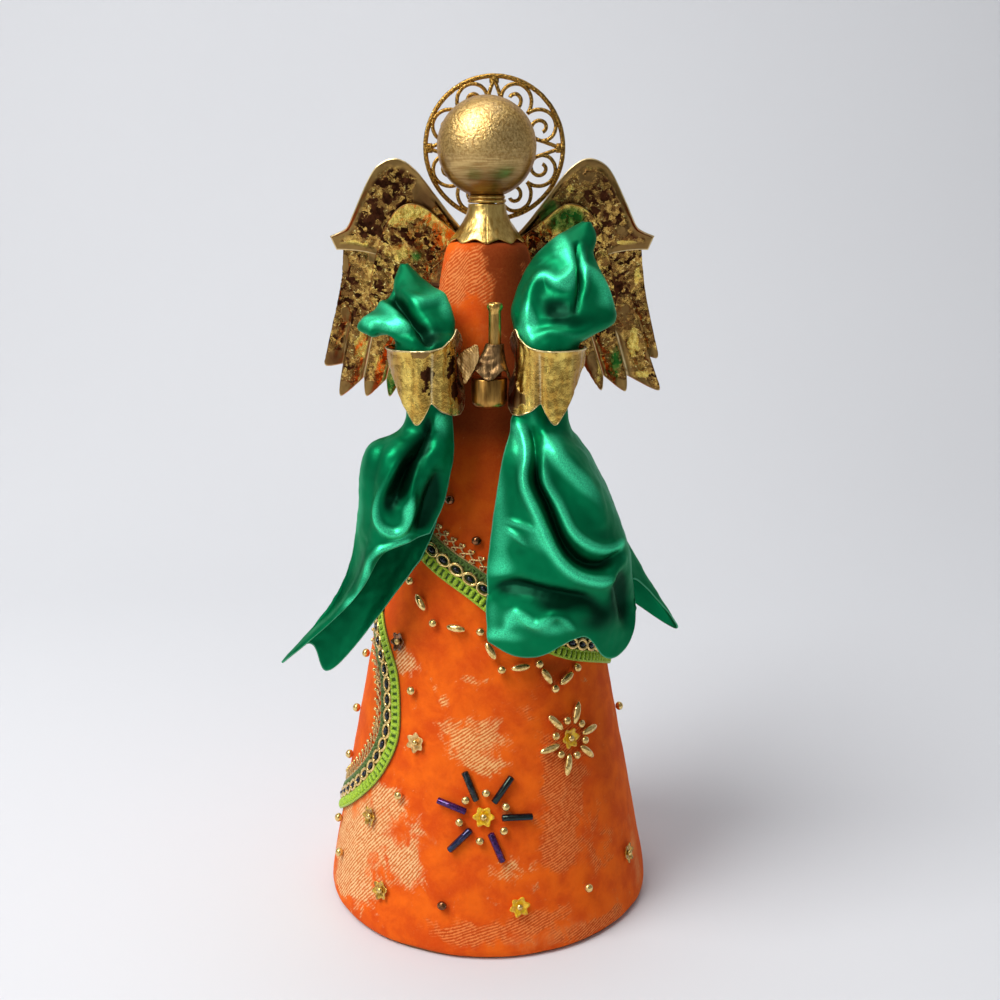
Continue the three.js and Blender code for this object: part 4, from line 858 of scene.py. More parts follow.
WING_CENTRE_X = 1.5
WING_T = 0.5
WING_SWEEP = 0.05
COVERT_LEADING = [(0.3, -2), (8.6, 3), (19.3, 16.5), (25, 23), (29.9, 25.3), (35, 23.5), (39, 18),
                  (44.2, 7.5), (46.8, 3.5), (51.5, 1.4)]
COVERT_TRAILING = [(0.3, -30), (9, -28.5), (16, -24), (21, -15), (26.5, -8.6), (34, -5.2), (42, -3.2),
                   (49.8, -2.8)]
LEAF_LEADING = [(9, 1.4), (16, 6.5), (23, 11.4), (31, 8.5), (37, -4), (40, -18)]
LEAF_TRAILING = [(9.6, -1.5), (16, -6), (22, -11), (28, -16), (34, -20), (39, -20.5)]
FEATHER_ROOT = [(47.5, 0.5), (38, -0.5), (27, -3.5), (15, -7.5)]
FEATHER_TIPS = {
    "left": [(55.7, -40.2), (51, -51.3), (42.1, -51.4), (34.3, -51.4)],
    "right": [(54.8, -37.8), (55.9, -49.4), (44.3, -49.8), (36, -49.2)],
}
FEATHER_VALLEYS = {
    "left": [(49.3, -26), (49.5, -40.3), (42.7, -44.8), (35.3, -45.4), (28.5, -42)],
    "right": [(50, -25), (50.3, -37.2), (44.6, -44.2), (36.8, -44.2), (28.1, -37)],
}
FEATHER_TIP_ROUND = 0.25
FEATHER_ARCH = {"depth": 1.4, "down": (0.3, 0.7)}
FEATHER_EDGE = {"width": 9, "root": 6}
COVERT_BULGE = {"depth": 2.2, "out": (9, 46), "height": (-3, 31)}
COVERT_ROLL = {"depth": 0.7, "down": (0.1, 0.0)}
LEAF_CLEARANCE = 0.45
LEAF_CURL = {"depth": 1.8, "along": 0.75, "sharpness": 3}
LEAF_HIGHLIGHT_BAND = {"from": 0.12, "length": 0.5, "width": 2, "strength": 2}
WING_SEEDS = {"covert": 7, "leaf": 11, "feather": 3}
WING_DOWN = shares(GRIDS["wing"][0])[:, None]
WING_ALONG = shares(GRIDS["wing"][1])

# Spots on the gold leaf: (x, z, half width, half height, strength). The first kind shows dark flakes of wear
# above zero, and below it whole bright leaf, painted there as a highlight; the third kind is a painted green
# reflection of the satin above zero and painted brown shade below it.
WING_SPOTS = {
    "left": {
        "wear_and_highlight": [(-33, 225, 7, 7, 0.45), (-27, 232.5, 3.5, 4, 0.5), (-38, 219, 6, 4, 0.45),
                 (-43, 211.8, 5, 1.7, -1.4), (-27, 209.5, 4, 3, -1), (-12, 214, 4, 3, -1.4),
                 (-44.7, 202, 3, 5, 0.4), (-44.3, 194, 3.5, 5, 0.4), (-47, 179, 4, 6, 0.5),
                 (-42, 178.4, 2.5, 6, -1.3), (-40.6, 171.7, 3, 3.5, 0.6), (-36.6, 172, 2.5, 4, -1),
                 (-36.6, 200.5, 5, 6, -0.6)],
        "smooth": [(-19.5, 227, 4.5, 6, 1), (-51, 174.7, 4, 3, 1), (-46, 206, 1.6, 3, 1),
                   (-46.4, 189.8, 1.6, 3, 1), (-48.4, 164, 3.5, 3.5, 1), (-39, 164, 3, 3.5, 1),
                   (-36, 208, 2.5, 2.5, 1), (-9, 199, 9, 9, 1)],
        "reflection_and_shade": [(-22.5, 208.4, 2.5, 2.5, 0.8), (-19.5, 226, 5, 6, -0.7), (-32.5, 165, 3, 6, 1),
                 (-51, 174.7, 4, 4, -0.8), (-9, 199, 9, 9, -1)],
    },
    "right": {
        "wear_and_highlight": [(25.3, 229.8, 3, 3.5, -0.7), (36, 220, 16, 16, 0.3), (49, 215, 3, 2.5, 0.5),
                 (44.4, 212.7, 5, 1, -1.5), (22, 217.3, 5, 1.2, -1.4), (39.6, 197.5, 6, 10, 0.5),
                 (48.2, 202, 1.6, 3, -1.2), (48.1, 179, 2, 6, -1.3), (45.6, 174.8, 4, 3, 0.6),
                 (51.3, 169.5, 2, 1.6, -1.2), (36.8, 172, 2.5, 5, -1)],
        "smooth": [(19.6, 222, 3.4, 5, 1), (33.9, 171, 2.6, 6, 1), (51.5, 165, 3, 3, 1),
                   (44, 165, 3, 3, 1), (54, 176, 2, 3, 1), (12, 199, 9, 9, 1), (31, 233, 7, 5, 0.5),
                   (42, 216, 5, 4, 0.5), (44, 190, 4, 9, 0.5)],
        "reflection_and_shade": [(34, 230, 14, 10, -0.45), (46, 214, 9, 5, -0.5), (46, 188, 6, 14, -0.4),
                 (19.6, 222, 4, 5, 1), (42.3, 174, 2.6, 6, 1), (48.2, 202, 1.6, 3, 0.5),
                 (33.9, 171, 3, 6, -0.6), (12, 199, 9, 9, -1)],
    },
}
# Spots on the shoulder leaves alone; the bright bands below zero along the leaves' tops are painted highlight
LEAF_SPOTS = {
    "left": {
        "wear_and_highlight": [(-28.5, 220.6, 3.5, 1.9, -1.7), (-22, 222.6, 4, 2, -1.8), (-15.5, 218.8, 3.5, 2, -1.7),
                 (-12, 214, 4, 3, -1.4), (-27, 209.5, 4, 3, -1), (-23, 215, 7, 3.5, 0.5)],
        "smooth": [(-9, 199, 9, 9, 1)],
        "reflection_and_shade": [(-22.5, 208.4, 2.5, 2.5, 0.8), (-9, 199, 9, 9, -1)],
    },
    "right": {
        "wear_and_highlight": [(22, 216.6, 5, 1.2, -1.5)],
        "smooth": [(12, 199, 9, 9, 1)],
        "reflection_and_shade": [(24, 221.5, 6, 4.5, 1.7), (12, 199, 9, 9, -1)],
    },
}
CUFF_SPOTS = {
    "left": {
        "wear_and_highlight": [(-16.8, 176.6, 2.6, 5, 1.9), (-9.8, 180, 2.4, 6, 1.6), (-9, 173, 2.2, 3, 1.2),
                 (-12, 174, 1.6, 2, -1.2), (-7.6, 183, 1, 2.5, -0.8)],
        "smooth": [(-18.5, 185, 3.6, 2.4, 0.9)],
        "reflection_and_shade": [(-18.5, 185, 4, 3, -0.5)],
    },
    "right": {
        "wear_and_highlight": [],
        "smooth": [(6.4, 181, 2.4, 9, 1), (7.5, 171, 4, 3, 1)],
        "reflection_and_shade": [(6.2, 181, 2.2, 9, -0.9), (8, 171, 4, 3, -0.6), (20, 188, 2, 3, -0.5),
                 (27, 190, 3, 3, -0.4)],
    },
}


def painted(grid, spots):
    """How much of each kind of spot there is at each point of a sheet."""
    found = {}
    for kind, places in spots.items():
        found[kind] = np.zeros(grid.shape[:2])
        for x, z, wide, high, strength in places:
            found[kind] += strength * hump(grid[..., 0], x, wide) * hump(grid[..., 2], z, high)
    return found


def wing_points(sign, out, height, forward):
    z = SKIRT_HEIGHT + height
    y = skirt_radius(z) + FIT_GAP + WING_T / 2 + WING_SWEEP * out - forward
    return np.stack([WING_CENTRE_X + sign * out, y, z], -1)


def covert_bulge(out, height):
    (inner, wide), (low, high) = COVERT_BULGE["out"], COVERT_BULGE["height"]
    return COVERT_BULGE["depth"] * swell((out - inner) / wide) * swell((height - low) / high)


def crumple(look, sign, out, height):
    """Dents pressed into the foil, different in each layer."""
    return dents(np.stack([out, height, 0 * out], -1), "foil", WING_SEEDS[look] * sign)


def wing_layer(look, sign, leading, trailing, lift):
    """A layer of a wing between two edges, dented and lifted off the bulge that the layers share."""
    down = WING_DOWN[..., None]
    flat = spline(leading, WING_ALONG) * (1 - down) + spline(trailing, WING_ALONG) * down
    out, height = flat[..., 0], flat[..., 1]
    forward = covert_bulge(out, height) + lift + crumple(look, sign, out, height)
    return wing_points(sign, out, height, forward)


def foil(look, side, grid, node, values):
    sheet(f"wing_{look}_foil_{side}", grid, WING_T, look, [node + side], values)


def wing_coverts(side, sign):
    rolled = COVERT_ROLL["depth"] * smoothstep(WING_DOWN, *COVERT_ROLL["down"])
    grid = wing_layer("covert", sign, COVERT_LEADING, COVERT_TRAILING, rolled)
    values = painted(grid, WING_SPOTS[side])
    foil("covert", side, grid, "wing_coverts_", values)


def wing_leaf(side, sign):
    """The leaf in front of the coverts, with a painted highlight in a curved band along its curled upper
    edge.
    """
    upper = (1 - WING_DOWN) ** LEAF_CURL["sharpness"]
    curl = LEAF_CURL["depth"] * swell(WING_ALONG / LEAF_CURL["along"]) * upper
    grid = wing_layer("leaf", sign, LEAF_LEADING, LEAF_TRAILING, WING_T + LEAF_CLEARANCE + curl)
    values = painted(grid, LEAF_SPOTS[side])
    # Painted highlight: a curved band along the leaf's upper edge is made bright gold
    highlight_band = swell((WING_ALONG - LEAF_HIGHLIGHT_BAND["from"]) / LEAF_HIGHLIGHT_BAND["length"])
    highlight_band = highlight_band * hump(lengths(grid, 0), 0, LEAF_HIGHLIGHT_BAND["width"])
    values["wear_and_highlight"] = values["wear_and_highlight"] * (1 - highlight_band) - LEAF_HIGHLIGHT_BAND["strength"] * highlight_band
    values["reflection_and_shade"] = values["reflection_and_shade"] * (1 - highlight_band)
    foil("leaf", side, grid, "wing_shoulder_leaf_", values)


def wing_feathers(side, sign):
    tips = np.array(FEATHER_TIPS[side], float)
    valleys = np.array(FEATHER_VALLEYS[side], float)
    rows, each = GRIDS["feather"]
    along = shares(each * len(tips) + 1) * len(tips)
    feather = np.minimum(along.astype(int), len(tips) - 1)
    share = along - feather
    from_side = math.hypot(1, FEATHER_TIP_ROUND) - np.hypot(2 * share - 1, FEATHER_TIP_ROUND)
    reach = from_side / (math.hypot(1, FEATHER_TIP_ROUND) - FEATHER_TIP_ROUND)
    level = valleys[feather] * (1 - share)[:, None] + valleys[feather + 1] * share[:, None]
    end = level + reach[:, None] * (tips[feather] - (valleys[feather] + valleys[feather + 1]) / 2)
    down = shares(rows)[:, None, None]
    flat = spline(FEATHER_ROOT, along / len(tips)) * (1 - down) + end * down
    out, height = flat[..., 0], flat[..., 1]
    arched = smoothstep(down[..., 0], *FEATHER_ARCH["down"])
    forward = FEATHER_ARCH["depth"] * swell(share) * arched - WING_T - FIT_GAP
    forward = forward + crumple("feather", sign, out, height)
    grid = wing_points(sign, out, height, forward)
    near = np.minimum(share, 1 - share)[None, :] * FEATHER_EDGE["width"]
    edge = np.minimum(near + FEATHER_EDGE["root"] * (1 - arched), lengths(grid[::-1], 0)[::-1])
    values = {"edge": edge, **painted(grid, WING_SPOTS[side])}
    foil("feather", side, grid, "wing_feathers_", values)


# Arms

CUFF_HEM = [(-178, 0.4), (-131, 0.86), (-98, 0.3), (-84, 0.2), (-60, 0.4), (-34, 0.7), (-10, 1),
            (3, 0.86), (13, 0.66), (26, 0.79), (48, 0.87), (66, 0.86), (86, 0.75), (106, 0.5)]
SLEEVE_WRAP_DEG = 150.0
SLEEVES = {
    "left": [(6.6, 17, 22.6, 0.9, 1.6), (5.1, 14.5, 18.6, 3.8, 4.2), (3.2, 11.5, 14.8, 6.8, 6.4),
             (3.2, 8, 11.2, 9.6, 8.2), (5, 4.5, 7, 13, 9.8), (4.6, 2.4, 4.2, 12.9, 9.8)],
    "right": [(11.6, 17, 34.8, 1, 1.6), (8.5, 15.5, 30.5, 5.7, 4.6), (5.5, 13, 26.5, 7.8, 6.2),
              (4.4, 10.5, 22, 10.2, 7.6), (4.1, 7.5, 16.8, 12.5, 9), (4.2, 4, 10.5, 14.6, 10),
              (4, 2.4, 6, 13.9, 9.9)],
}
DRAPE_TOP_DEG = (52, -150)
DRAPE_TUCK = -3.2
DRAPE_TUCKED_IN = 3.4
DRAPE_TUCKED_DEG = (-20, -70)
DRAPE_THROAT = {"shift": -3.2, "width": {"left": 6.3, "right": 9.2}, "depth": 8.0,
                "outer": {"left": 2.8, "right": 0}}
DRAPES = {
    "left": [
        [(-8.6, -7, -29), (-7.5, -8, -37), (-5.3, -8.5, -45.5), (-1.5, -9, -53.7)],
        [(-4, -11, -29), (-1.6, -12, -39), (2, -11.5, -48), (5.2, -11, -56)],
        [(2, -13, -30), (5.5, -13.5, -41), (9.2, -12.5, -50.5), (12.4, -11, -59.3)],
        [(8.5, -12.5, -29.5), (12, -12.5, -43), (15, -11, -56), (17.3, -10, -68)],
        [(13.5, -9, -29), (16.5, -9, -45), (19.5, -8.5, -63), (28, -8, -81)],
        [(15.8, -3, -28.5), (19, -3, -45), (24, -3, -70), (44.3, -5, -95.5)],
        [(14, 1, -30), (18, 0, -48), (25, -1, -72), (36, -2, -90.5)],
        [(8, 2, -32), (12, 0, -52), (18, -2, -76), (31, -4, -98.6)],
        [(0.5, 0, -32), (3, -2, -50), (8.5, -3.5, -67), (16.6, -5, -83.2)],
        [(-5, -1, -31), (-5, -3, -41), (-3, -4.5, -52), (1.5, -6, -62.3)],
    ],
    "right": [
        [(-12.9, -9, -30), (-15.6, -11, -46), (-18, -12, -68), (-17.4, -13, -85.7)],
        [(-6.5, -13, -30), (-8, -16, -48), (-9, -17, -70), (-11, -16, -88.6)],
        [(-0.5, -14.5, -30), (1, -18, -48), (1, -20, -70), (-1, -18, -88)],
        [(5.5, -14, -30), (9.5, -17, -48), (11, -18.5, -68), (10.3, -17, -82.8)],
        [(9.5, -11, -30), (16, -12.5, -48), (19, -13.5, -70), (16.5, -14, -90)],
        [(11.5, -5.5, -30.5), (20.5, -5, -48), (24.5, -5.5, -66), (23.5, -9, -89.5)],
        [(12, 1.5, -30.5), (20.5, 3, -48), (25.5, 3, -66), (27, -3, -79)],
        [(11, 8, -30), (18, 10, -47), (25, 10, -62), (28.5, 6, -73)],
        [(8.5, 11, -29), (14.5, 14, -46), (24, 15, -63), (42, 11, -90)],
        [(3, 11, -29), (6.5, 13, -45), (12, 14, -60), (22, 15, -78)],
    ],
}

# Folds in the satin: how far each stands out, or in if below zero, its half width, and its line as (x, z)
DRAPE_FOLDS = {
    "left": [
        (-6.0, 2.8, [(-17.5, 161.5), (-20.7, 155.1), (-23.9, 148.8), (-27.2, 142.3)]),
        (1.8, 1.3, [(-18, 162.5), (-22.4, 156.8), (-27.5, 149.2), (-31.4, 140.9), (-30.9, 135.1),
                    (-27.9, 132.5), (-24.7, 133.1), (-22.1, 137.7), (-21.4, 144.7), (-20, 151.8),
                    (-16.8, 160), (-13, 165.6)]),
        (-2.6, 2.2, [(-13.3, 150), (-15.9, 143.6), (-17.9, 137.1), (-19.8, 131.3)]),
        (0.9, 2.4, [(-33.9, 156.4), (-35.2, 148.4), (-35.4, 141.6), (-37.9, 131.2), (-40.4, 122.4)]),
        (-1.2, 1.8, [(-29.5, 158), (-33, 149), (-33.8, 140), (-35, 130)]),
        (-1.2, 2.2, [(-36, 128), (-39, 118), (-46, 108), (-54, 101)]),
        (1.5, 1.0, [(-23.2, 130), (-28.3, 128.2), (-32.8, 125.3), (-36.2, 117.6), (-38.6, 112.4),
                    (-44, 107.2)]),
    ],
    "right": [
        (2.4, 1.8, [(8.5, 164.1), (11.3, 159.7), (12.3, 154.6), (11.6, 148.2), (14.3, 141.1),
                    (17.1, 134.6), (20.7, 127.4), (25.8, 122.1), (31.6, 119.5), (36, 119.1),
                    (39.7, 123.5)]),
        (2.2, 1.7, [(15.5, 156.7), (16.8, 148.4), (20.6, 141.9), (23.8, 135.4), (28.3, 130.8),
                    (34.1, 128.2), (39.8, 128.2)]),
        (-4.2, 1.9, [(13.2, 161), (13.8, 154), (14.2, 148.2), (17.4, 141.8), (21.2, 132.7), (26.4, 126.1),
                     (32.8, 123.5), (38.4, 124.8)]),
        (1.6, 2.2, [(12, 169.9), (15.5, 162.9), (19.4, 156.5), (25.1, 150.1), (31, 142.9), (33.6, 136.3)]),
        (-1.0, 2.2, [(25.2, 157.7), (32.4, 150.5), (37.7, 142.6), (40.8, 133.9), (41.2, 127.2)]),
        (1.0, 0.9, [(5.5, 134), (8.6, 132.7), (11.8, 130.1)]),
        (1.0, 0.9, [(6.1, 136.6), (9.9, 135.9), (14.3, 134.6)]),
        (-2.8, 2.4, [(1, 114.1), (5.5, 117.5), (11.9, 117.5), (19.5, 116.1), (28.5, 114.1), (33.7, 110.1)]),
        (1.4, 1.5, [(1, 101.3), (6.2, 104.7), (8.7, 109.4), (14.5, 106.7), (19.6, 109.8), (23.5, 107.4),
                    (26.1, 104.7)]),
        (-3.5, 2.0, [(39, 119), (41, 112), (42, 104)]),
    ],
}
SLEEVE_FOLDS = {
    "left": [
        (-4.6, 1.7, [(-29.5, 199.3), (-26.7, 198.1), (-23.5, 196), (-20, 193.1), (-17.7, 190.1),
                     (-16.5, 187.2)]),
        (1.8, 1.8, [(-31, 197), (-26.6, 194.8), (-22.8, 192), (-20.3, 188.5)]),
        (1.2, 1.6, [(-36, 191.5), (-31.3, 192.2), (-26.6, 191.3), (-23.6, 189.5)]),
        (1.0, 1.6, [(-24, 200), (-20.6, 198), (-15.2, 198), (-12.8, 199.5)]),
        (-2.2, 1.3, [(-31.5, 189.3), (-28.6, 188.1), (-26.9, 185.1)]),
        (0.9, 1.2, [(-33, 189.3), (-31.9, 186.3), (-29.9, 182.1)]),
        (0.8, 1.4, [(-14.1, 200.5), (-10.6, 195.8), (-9.4, 191.7), (-10.4, 188.7)]),
    ],
    "right": [
        (1.7, 1.8, [(22.2, 214.6), (24.6, 210), (24.4, 205.9), (20.6, 203.3), (17, 204.8), (13.8, 201.9),
                    (12.4, 196.6), (12.1, 191.3), (13, 187.8)]),
        (-1.6, 4.0, [(20, 199.5), (20.5, 194)]),
        (-2.0, 0.9, [(26.4, 213.3), (26.5, 208.1), (27, 203.5), (26.5, 199.9), (25.6, 195.8)]),
        (0.8, 1.0, [(28, 213), (28.1, 208), (28.6, 203.5), (28, 199.8)]),
        (1.2, 1.6, [(27.5, 207.1), (30.8, 205.1), (33.9, 201), (36.1, 195)]),
        (0.9, 1.3, [(14.2, 188.3), (18.9, 190.1), (24.9, 189.5), (29.6, 191.3)]),
    ],
}


# Where the satin catches the light, or lies dark if below zero: (x, z, half width, half height, strength)
DRAPE_SHINE = {
    "left": [(-12.4, 164, 2.4, 4, 1), (-15.3, 160.2, 2, 3, 0.6), (-22.8, 139.1, 1.8, 3.5, 1),
             (-27.3, 132.6, 3, 1.5, 1), (-19.6, 131.6, 4, 1, 1), (-29.3, 127.6, 3, 1.2, 0.9),
             (-34.8, 120.5, 1.2, 4, 1.1), (-40.5, 110.3, 3, 2, 0.9), (-24.6, 129.6, 3, 1.1, 1),
             (-46.5, 105.6, 4, 1.6, 0.7), (-23.1, 149, 2.5, 6, -2), (-28.1, 141.6, 2, 4, -1.5),
             (-15.5, 142.1, 3, 6, -1.6), (-19.5, 135.6, 3, 2.5, -1.5), (-32.4, 120.5, 1.6, 4, -1),
             (-36.2, 122, 2, 5, -0.7), (-16.7, 161.6, 1.5, 5, -2)],
    "right": [(10.5, 158.8, 3.2, 5, 1.2), (3.6, 145, 2.2, 8, 0.8), (1.8, 110, 2, 9, 0.6),
              (4.5, 130, 3.2, 9, 0.8), (4.5, 121, 4, 4, 0.9), (15.4, 132, 4, 4, 0.8),
              (9.2, 107.9, 4, 2.5, 1), (5.9, 102.2, 5, 2, 1), (19.5, 105.3, 5, 2.2, 0.9),
              (39.4, 126.5, 2, 3, 1), (20, 160.6, 3, 5, 0.35), (29.6, 148.5, 4, 6, 0.3),
              (17, 163.5, 2.5, 4, -1.5), (8.6, 166.4, 4, 3, -1.2), (7.3, 116.5, 5, 2.5, -1.6),
              (20.3, 113, 7, 3, -1.8), (32.5, 106.8, 6, 4, -1.6), (29.6, 139.4, 6, 7, -0.7),
              (34.5, 132, 4, 3, -0.7), (38.7, 114.5, 3, 6, -2.4), (9.7, 128, 3, 2, -0.8)],
}
SLEEVE_SHINE = {
    "left": [(-16.2, 201.1, 2.5, 3, 0.5), (-12.2, 196.5, 1.6, 4, 0.9), (-22.4, 195.5, 2.5, 1.6, 0.9),
             (-19.4, 193, 2, 2, 0.8), (-26.6, 191.4, 3.5, 1.6, 0.9), (-33.2, 191.9, 2, 1.4, 0.9),
             (-30.3, 186.3, 1.4, 2.5, 0.7), (-19.4, 190.4, 2.2, 2.4, -1.6), (-14.3, 188.4, 3, 3, -1.4),
             (-27.2, 187.3, 2, 2, -1.4), (-22.3, 200.6, 2, 3, -0.5), (-24, 193, 1.6, 1.4, -1.2)],
    "right": [(21.4, 212.6, 2.6, 3.4, 0.9), (23, 203.6, 2.4, 3, 1.2), (13.4, 192.5, 2, 3, 0.9),
              (10.3, 189.4, 2, 2.4, 0.9), (27.5, 207.6, 1.2, 3, 0.6), (32.8, 197.5, 2.5, 3, 0.5),
              (13.4, 200.6, 3.5, 4, -1.2), (20.5, 195.5, 4.5, 3.5, -1.5), (15.3, 208.6, 3, 3, -1),
              (25.7, 192.5, 4, 2.5, -0.9), (30.8, 193.5, 4, 2.5, -0.7)],
}


def wrist(sign):
    return np.array([sign * WRIST[0], WRIST[1], WRIST[2]])


def round_wrist(sign, degrees, radius, height):
    """Points round a wrist. Degrees are 0 at the front and grow towards the candle."""
    angle = np.radians(degrees)
    parts = np.broadcast_arrays(-sign * radius * np.sin(angle), -radius * np.cos(angle), height)
    return wrist(sign) + np.stack(parts, -1)


def fold_field(grid, folds):
    """How far each point of a cloth is pushed out by its folds."""
    pushed = np.zeros(grid.shape[:2])
    for height, width, line in folds:
        path = spline(line, shares(FOLD_STEPS)).astype(np.float32)
        gap = np.hypot(grid[..., 0, None] - path[:, 0], grid[..., 2, None] - path[:, 1])
        along = FOLD_FADE["from"] + FOLD_FADE["length"] * gap.argmin(-1) / (len(path) - 1)
        fade = swell(along) ** FOLD_FADE["softness"]
        pushed += height * fade * hump(gap.min(-1), 0, width)
    return pushed


def folded(grid, folds, shine):
    """A cloth with folds pressed in where it faces the front, off the skirt, and how light each point is."""
    normal = normals_of(grid)
    if normal[..., 1].mean() > 0:
        normal = -normal
    facing = smoothstep(-normal[..., 1], *FOLD_FACING)
    pushed = fold_field(grid, folds) * facing
    moved = grid + normal * (pushed + dents(grid, "satin"))[..., None]
    lit = painted(grid, {"fold": shine})["fold"]
    return outside_skirt(moved, CLOTH_CLEARANCE), {"fold": FOLD_LIGHT * pushed + lit * facing}


def cuff(side, sign):
    rows, columns = GRIDS["cuff"]
    degrees = np.linspace(CUFF_HEM[0][0], CUFF_HEM[-1][0], columns)
    down = shares(rows)[:, None]
    knots = np.array(CUFF_HEM, float)
    length = CUFF_LENGTH * np.interp(degrees, knots[:, 0], knots[:, 1])
    window = np.ones(CUFF_HEM_SMOOTHING) / CUFF_HEM_SMOOTHING
    length = np.convolve(np.pad(length, CUFF_HEM_SMOOTHING // 2, mode="edge"), window, mode="valid")
    from_point = np.abs((degrees - CUFF_POINT_DEG) / CUFF_POINT_SPREAD_DEG)
    point = CUFF_POINT * np.exp(-from_point ** CUFF_POINT_SHARPNESS)
    height = point * (1 - down) - length * down
    below = np.maximum(length * down - CUFF_LEAN["below"], 0) / CUFF_LENGTH
    lean = CUFF_LEAN["share"] * smoothstep(degrees, CUFF_LEAN["from"], CUFF_LEAN["to"]) * below
    flare = CUFF_FLARE["share"] * smoothstep(degrees, CUFF_FLARE["from"], CUFF_FLARE["to"]) * down ** 2
    waist = hump(degrees, CUFF_WAIST["at"], CUFF_WAIST["spread"])
    waist = waist * swell((down - CUFF_WAIST["from"]) / CUFF_WAIST["length"])
    crease = hump(degrees, CUFF_CREASE["at"], CUFF_CREASE["spread"]) * smoothstep(down, *CUFF_CREASE["down"])
    radius = CUFF_R * (1 + flare - lean) - CUFF_CREASE["depth"] * crease - CUFF_WAIST["depth"] * waist
    rolled = CUFF_ROLL["depth"] * smoothstep(down, *CUFF_ROLL["down"])
    grid = round_wrist(sign, degrees, radius + rolled, height)
    fluted = (degrees / CUFF_FLUTES["degrees"], height / CUFF_FLUTES["height"], 0 * height + sign)
    flutes = CUFF_FLUTES["depth"] * lumps(np.stack(np.broadcast_arrays(*fluted), -1), 1.0)
    grid = grid + normals_of(grid) * (flutes + dents(grid, "cuff"))[..., None]
    values = painted(grid, CUFF_SPOTS[side])
    # Painted highlight: a pale line by the crease
    line = hump(degrees, CUFF_CREASE_HIGHLIGHT["at"], CUFF_CREASE_HIGHLIGHT["spread"])
    values["pale"] = line * smoothstep(down, *CUFF_CREASE_HIGHLIGHT["down"])
    # Painted shade: the cuff's inner side, turning away from the light, is browned
    values["reflection_and_shade"] -= CUFF_INNER_SHADE["share"] * smoothstep(degrees, CUFF_INNER_SHADE["from"], CUFF_INNER_SHADE["to"])
    # Painted light: the petals' middles are lit brighter
    lit_middles = sum(hump(degrees, at, spread) for at, spread in CUFF_LIT_MIDDLES)
    values["core"] = np.broadcast_to(lit_middles, height.shape)
    sheet("cuff_petals_" + side, grid, CUFF_T, "cuff", ["cuff_" + side], values)


def satin(kind, side, grid, folds, shine):
    cloth, values = folded(outside_skirt(grid, CLOTH_CLEARANCE), folds[side], shine[side])
    return sheet(f"{kind}_satin_{side}", cloth, SATIN_T, "satin", [f"{kind}_{side}"], values, False)


def sleeve(side, sign):
    gathered = [(0, 0, height, GATHER_R, GATHER_R) for height in (SLEEVE_NECK, -SLEEVE_TUCK)]
    rows, columns = GRIDS["sleeve"]
    down = shares(rows)
    sections = spline(SLEEVES[side] + gathered, down)
    angle = np.radians(np.linspace(-SLEEVE_WRAP_DEG, SLEEVE_WRAP_DEG, columns))
    width, depth = (np.maximum(sections[:, i + 3, None], SLEEVE_LEAST[i]) for i in range(2))
    pleated = swell(down * SLEEVE_PLEATS["rate"] - SLEEVE_PLEATS["from"])[:, None]
    fold = 1 + (SLEEVE_PLEATS["depth"] / width) * np.cos(SLEEVE_PLEATS["count"] * angle) * pleated
    middle = wrist(sign) + sections[:, :3] * (sign, 1, 1)
    grid = np.stack(np.broadcast_arrays(
        middle[:, 0:1] + width * fold * np.sin(angle),
        middle[:, 1:2] - depth * fold * np.cos(angle),
        middle[:, 2:3],
    ), -1)
    made = satin("sleeve", side, grid, SLEEVE_FOLDS, SLEEVE_SHINE)


def drape(side, sign):
    first, last = DRAPE_TOP_DEG
    guides = []
    for i, hanging in enumerate(DRAPES[side]):
        degrees = first + (last - first) * i / (len(DRAPES[side]) - 1)
        turn = math.radians(degrees)
        throat_x = DRAPE_THROAT["shift"] - DRAPE_THROAT["width"][side] * math.sin(turn)
        throat_x += DRAPE_THROAT["outer"][side] * max(-math.sin(turn), 0)
        throat = (throat_x, -DRAPE_THROAT["depth"] * math.cos(turn), -CUFF_LENGTH)
        points = np.array([throat, *hanging], float) * (sign, 1, 1) + wrist(sign)
        tuck_r = GATHER_R - DRAPE_TUCKED_IN * smoothstep(degrees, *DRAPE_TUCKED_DEG)
        guides.append(np.vstack([round_wrist(sign, degrees, tuck_r, DRAPE_TUCK)[None], points]))
    rows, columns = GRIDS["drape"]
    hung = spline(np.array(guides).transpose(1, 0, 2), shares(rows))
    grid = spline(hung.transpose(1, 0, 2), shares(columns)).transpose(1, 0, 2)
    made = satin("drape", side, grid, DRAPE_FOLDS, DRAPE_SHINE)


# Candle


def calyx():
    """A bell of crumpled foil round the candle's foot, cut into petals that droop over the socket."""
    rows, columns = GRIDS["calyx"]
    angles = np.linspace(0, FULL_TURN, columns)
    down = shares(rows)[:, None]
    petal = (1 + np.cos(CALYX_PETALS * angles)) / 2
    droop = CALYX_NOTCH_H * (1 - petal) - CALYX_DROOP * np.sin(angles) ** 2 * petal
    radius = CALYX_NECK_R + (CALYX_FLARE_R - CALYX_NECK_R) * down ** CALYX_SPREAD
    middle = CANDLE_AT[0] + (SOCKET_X - CANDLE_AT[0]) * down
    z = SOCKET_TOP_Z + CALYX_H + (droop - CALYX_H) * down
    grid = around_z(radius, angles, z) + np.stack([middle, 0 * middle + CANDLE_AT[1], 0 * middle], -1)
    grid = grid + normals_of(grid) * (dents(grid, "calyx") * np.sqrt(down))[..., None]
    sheet("calyx_cup", grid, CALYX_T, "calyx", ["candle_calyx"])


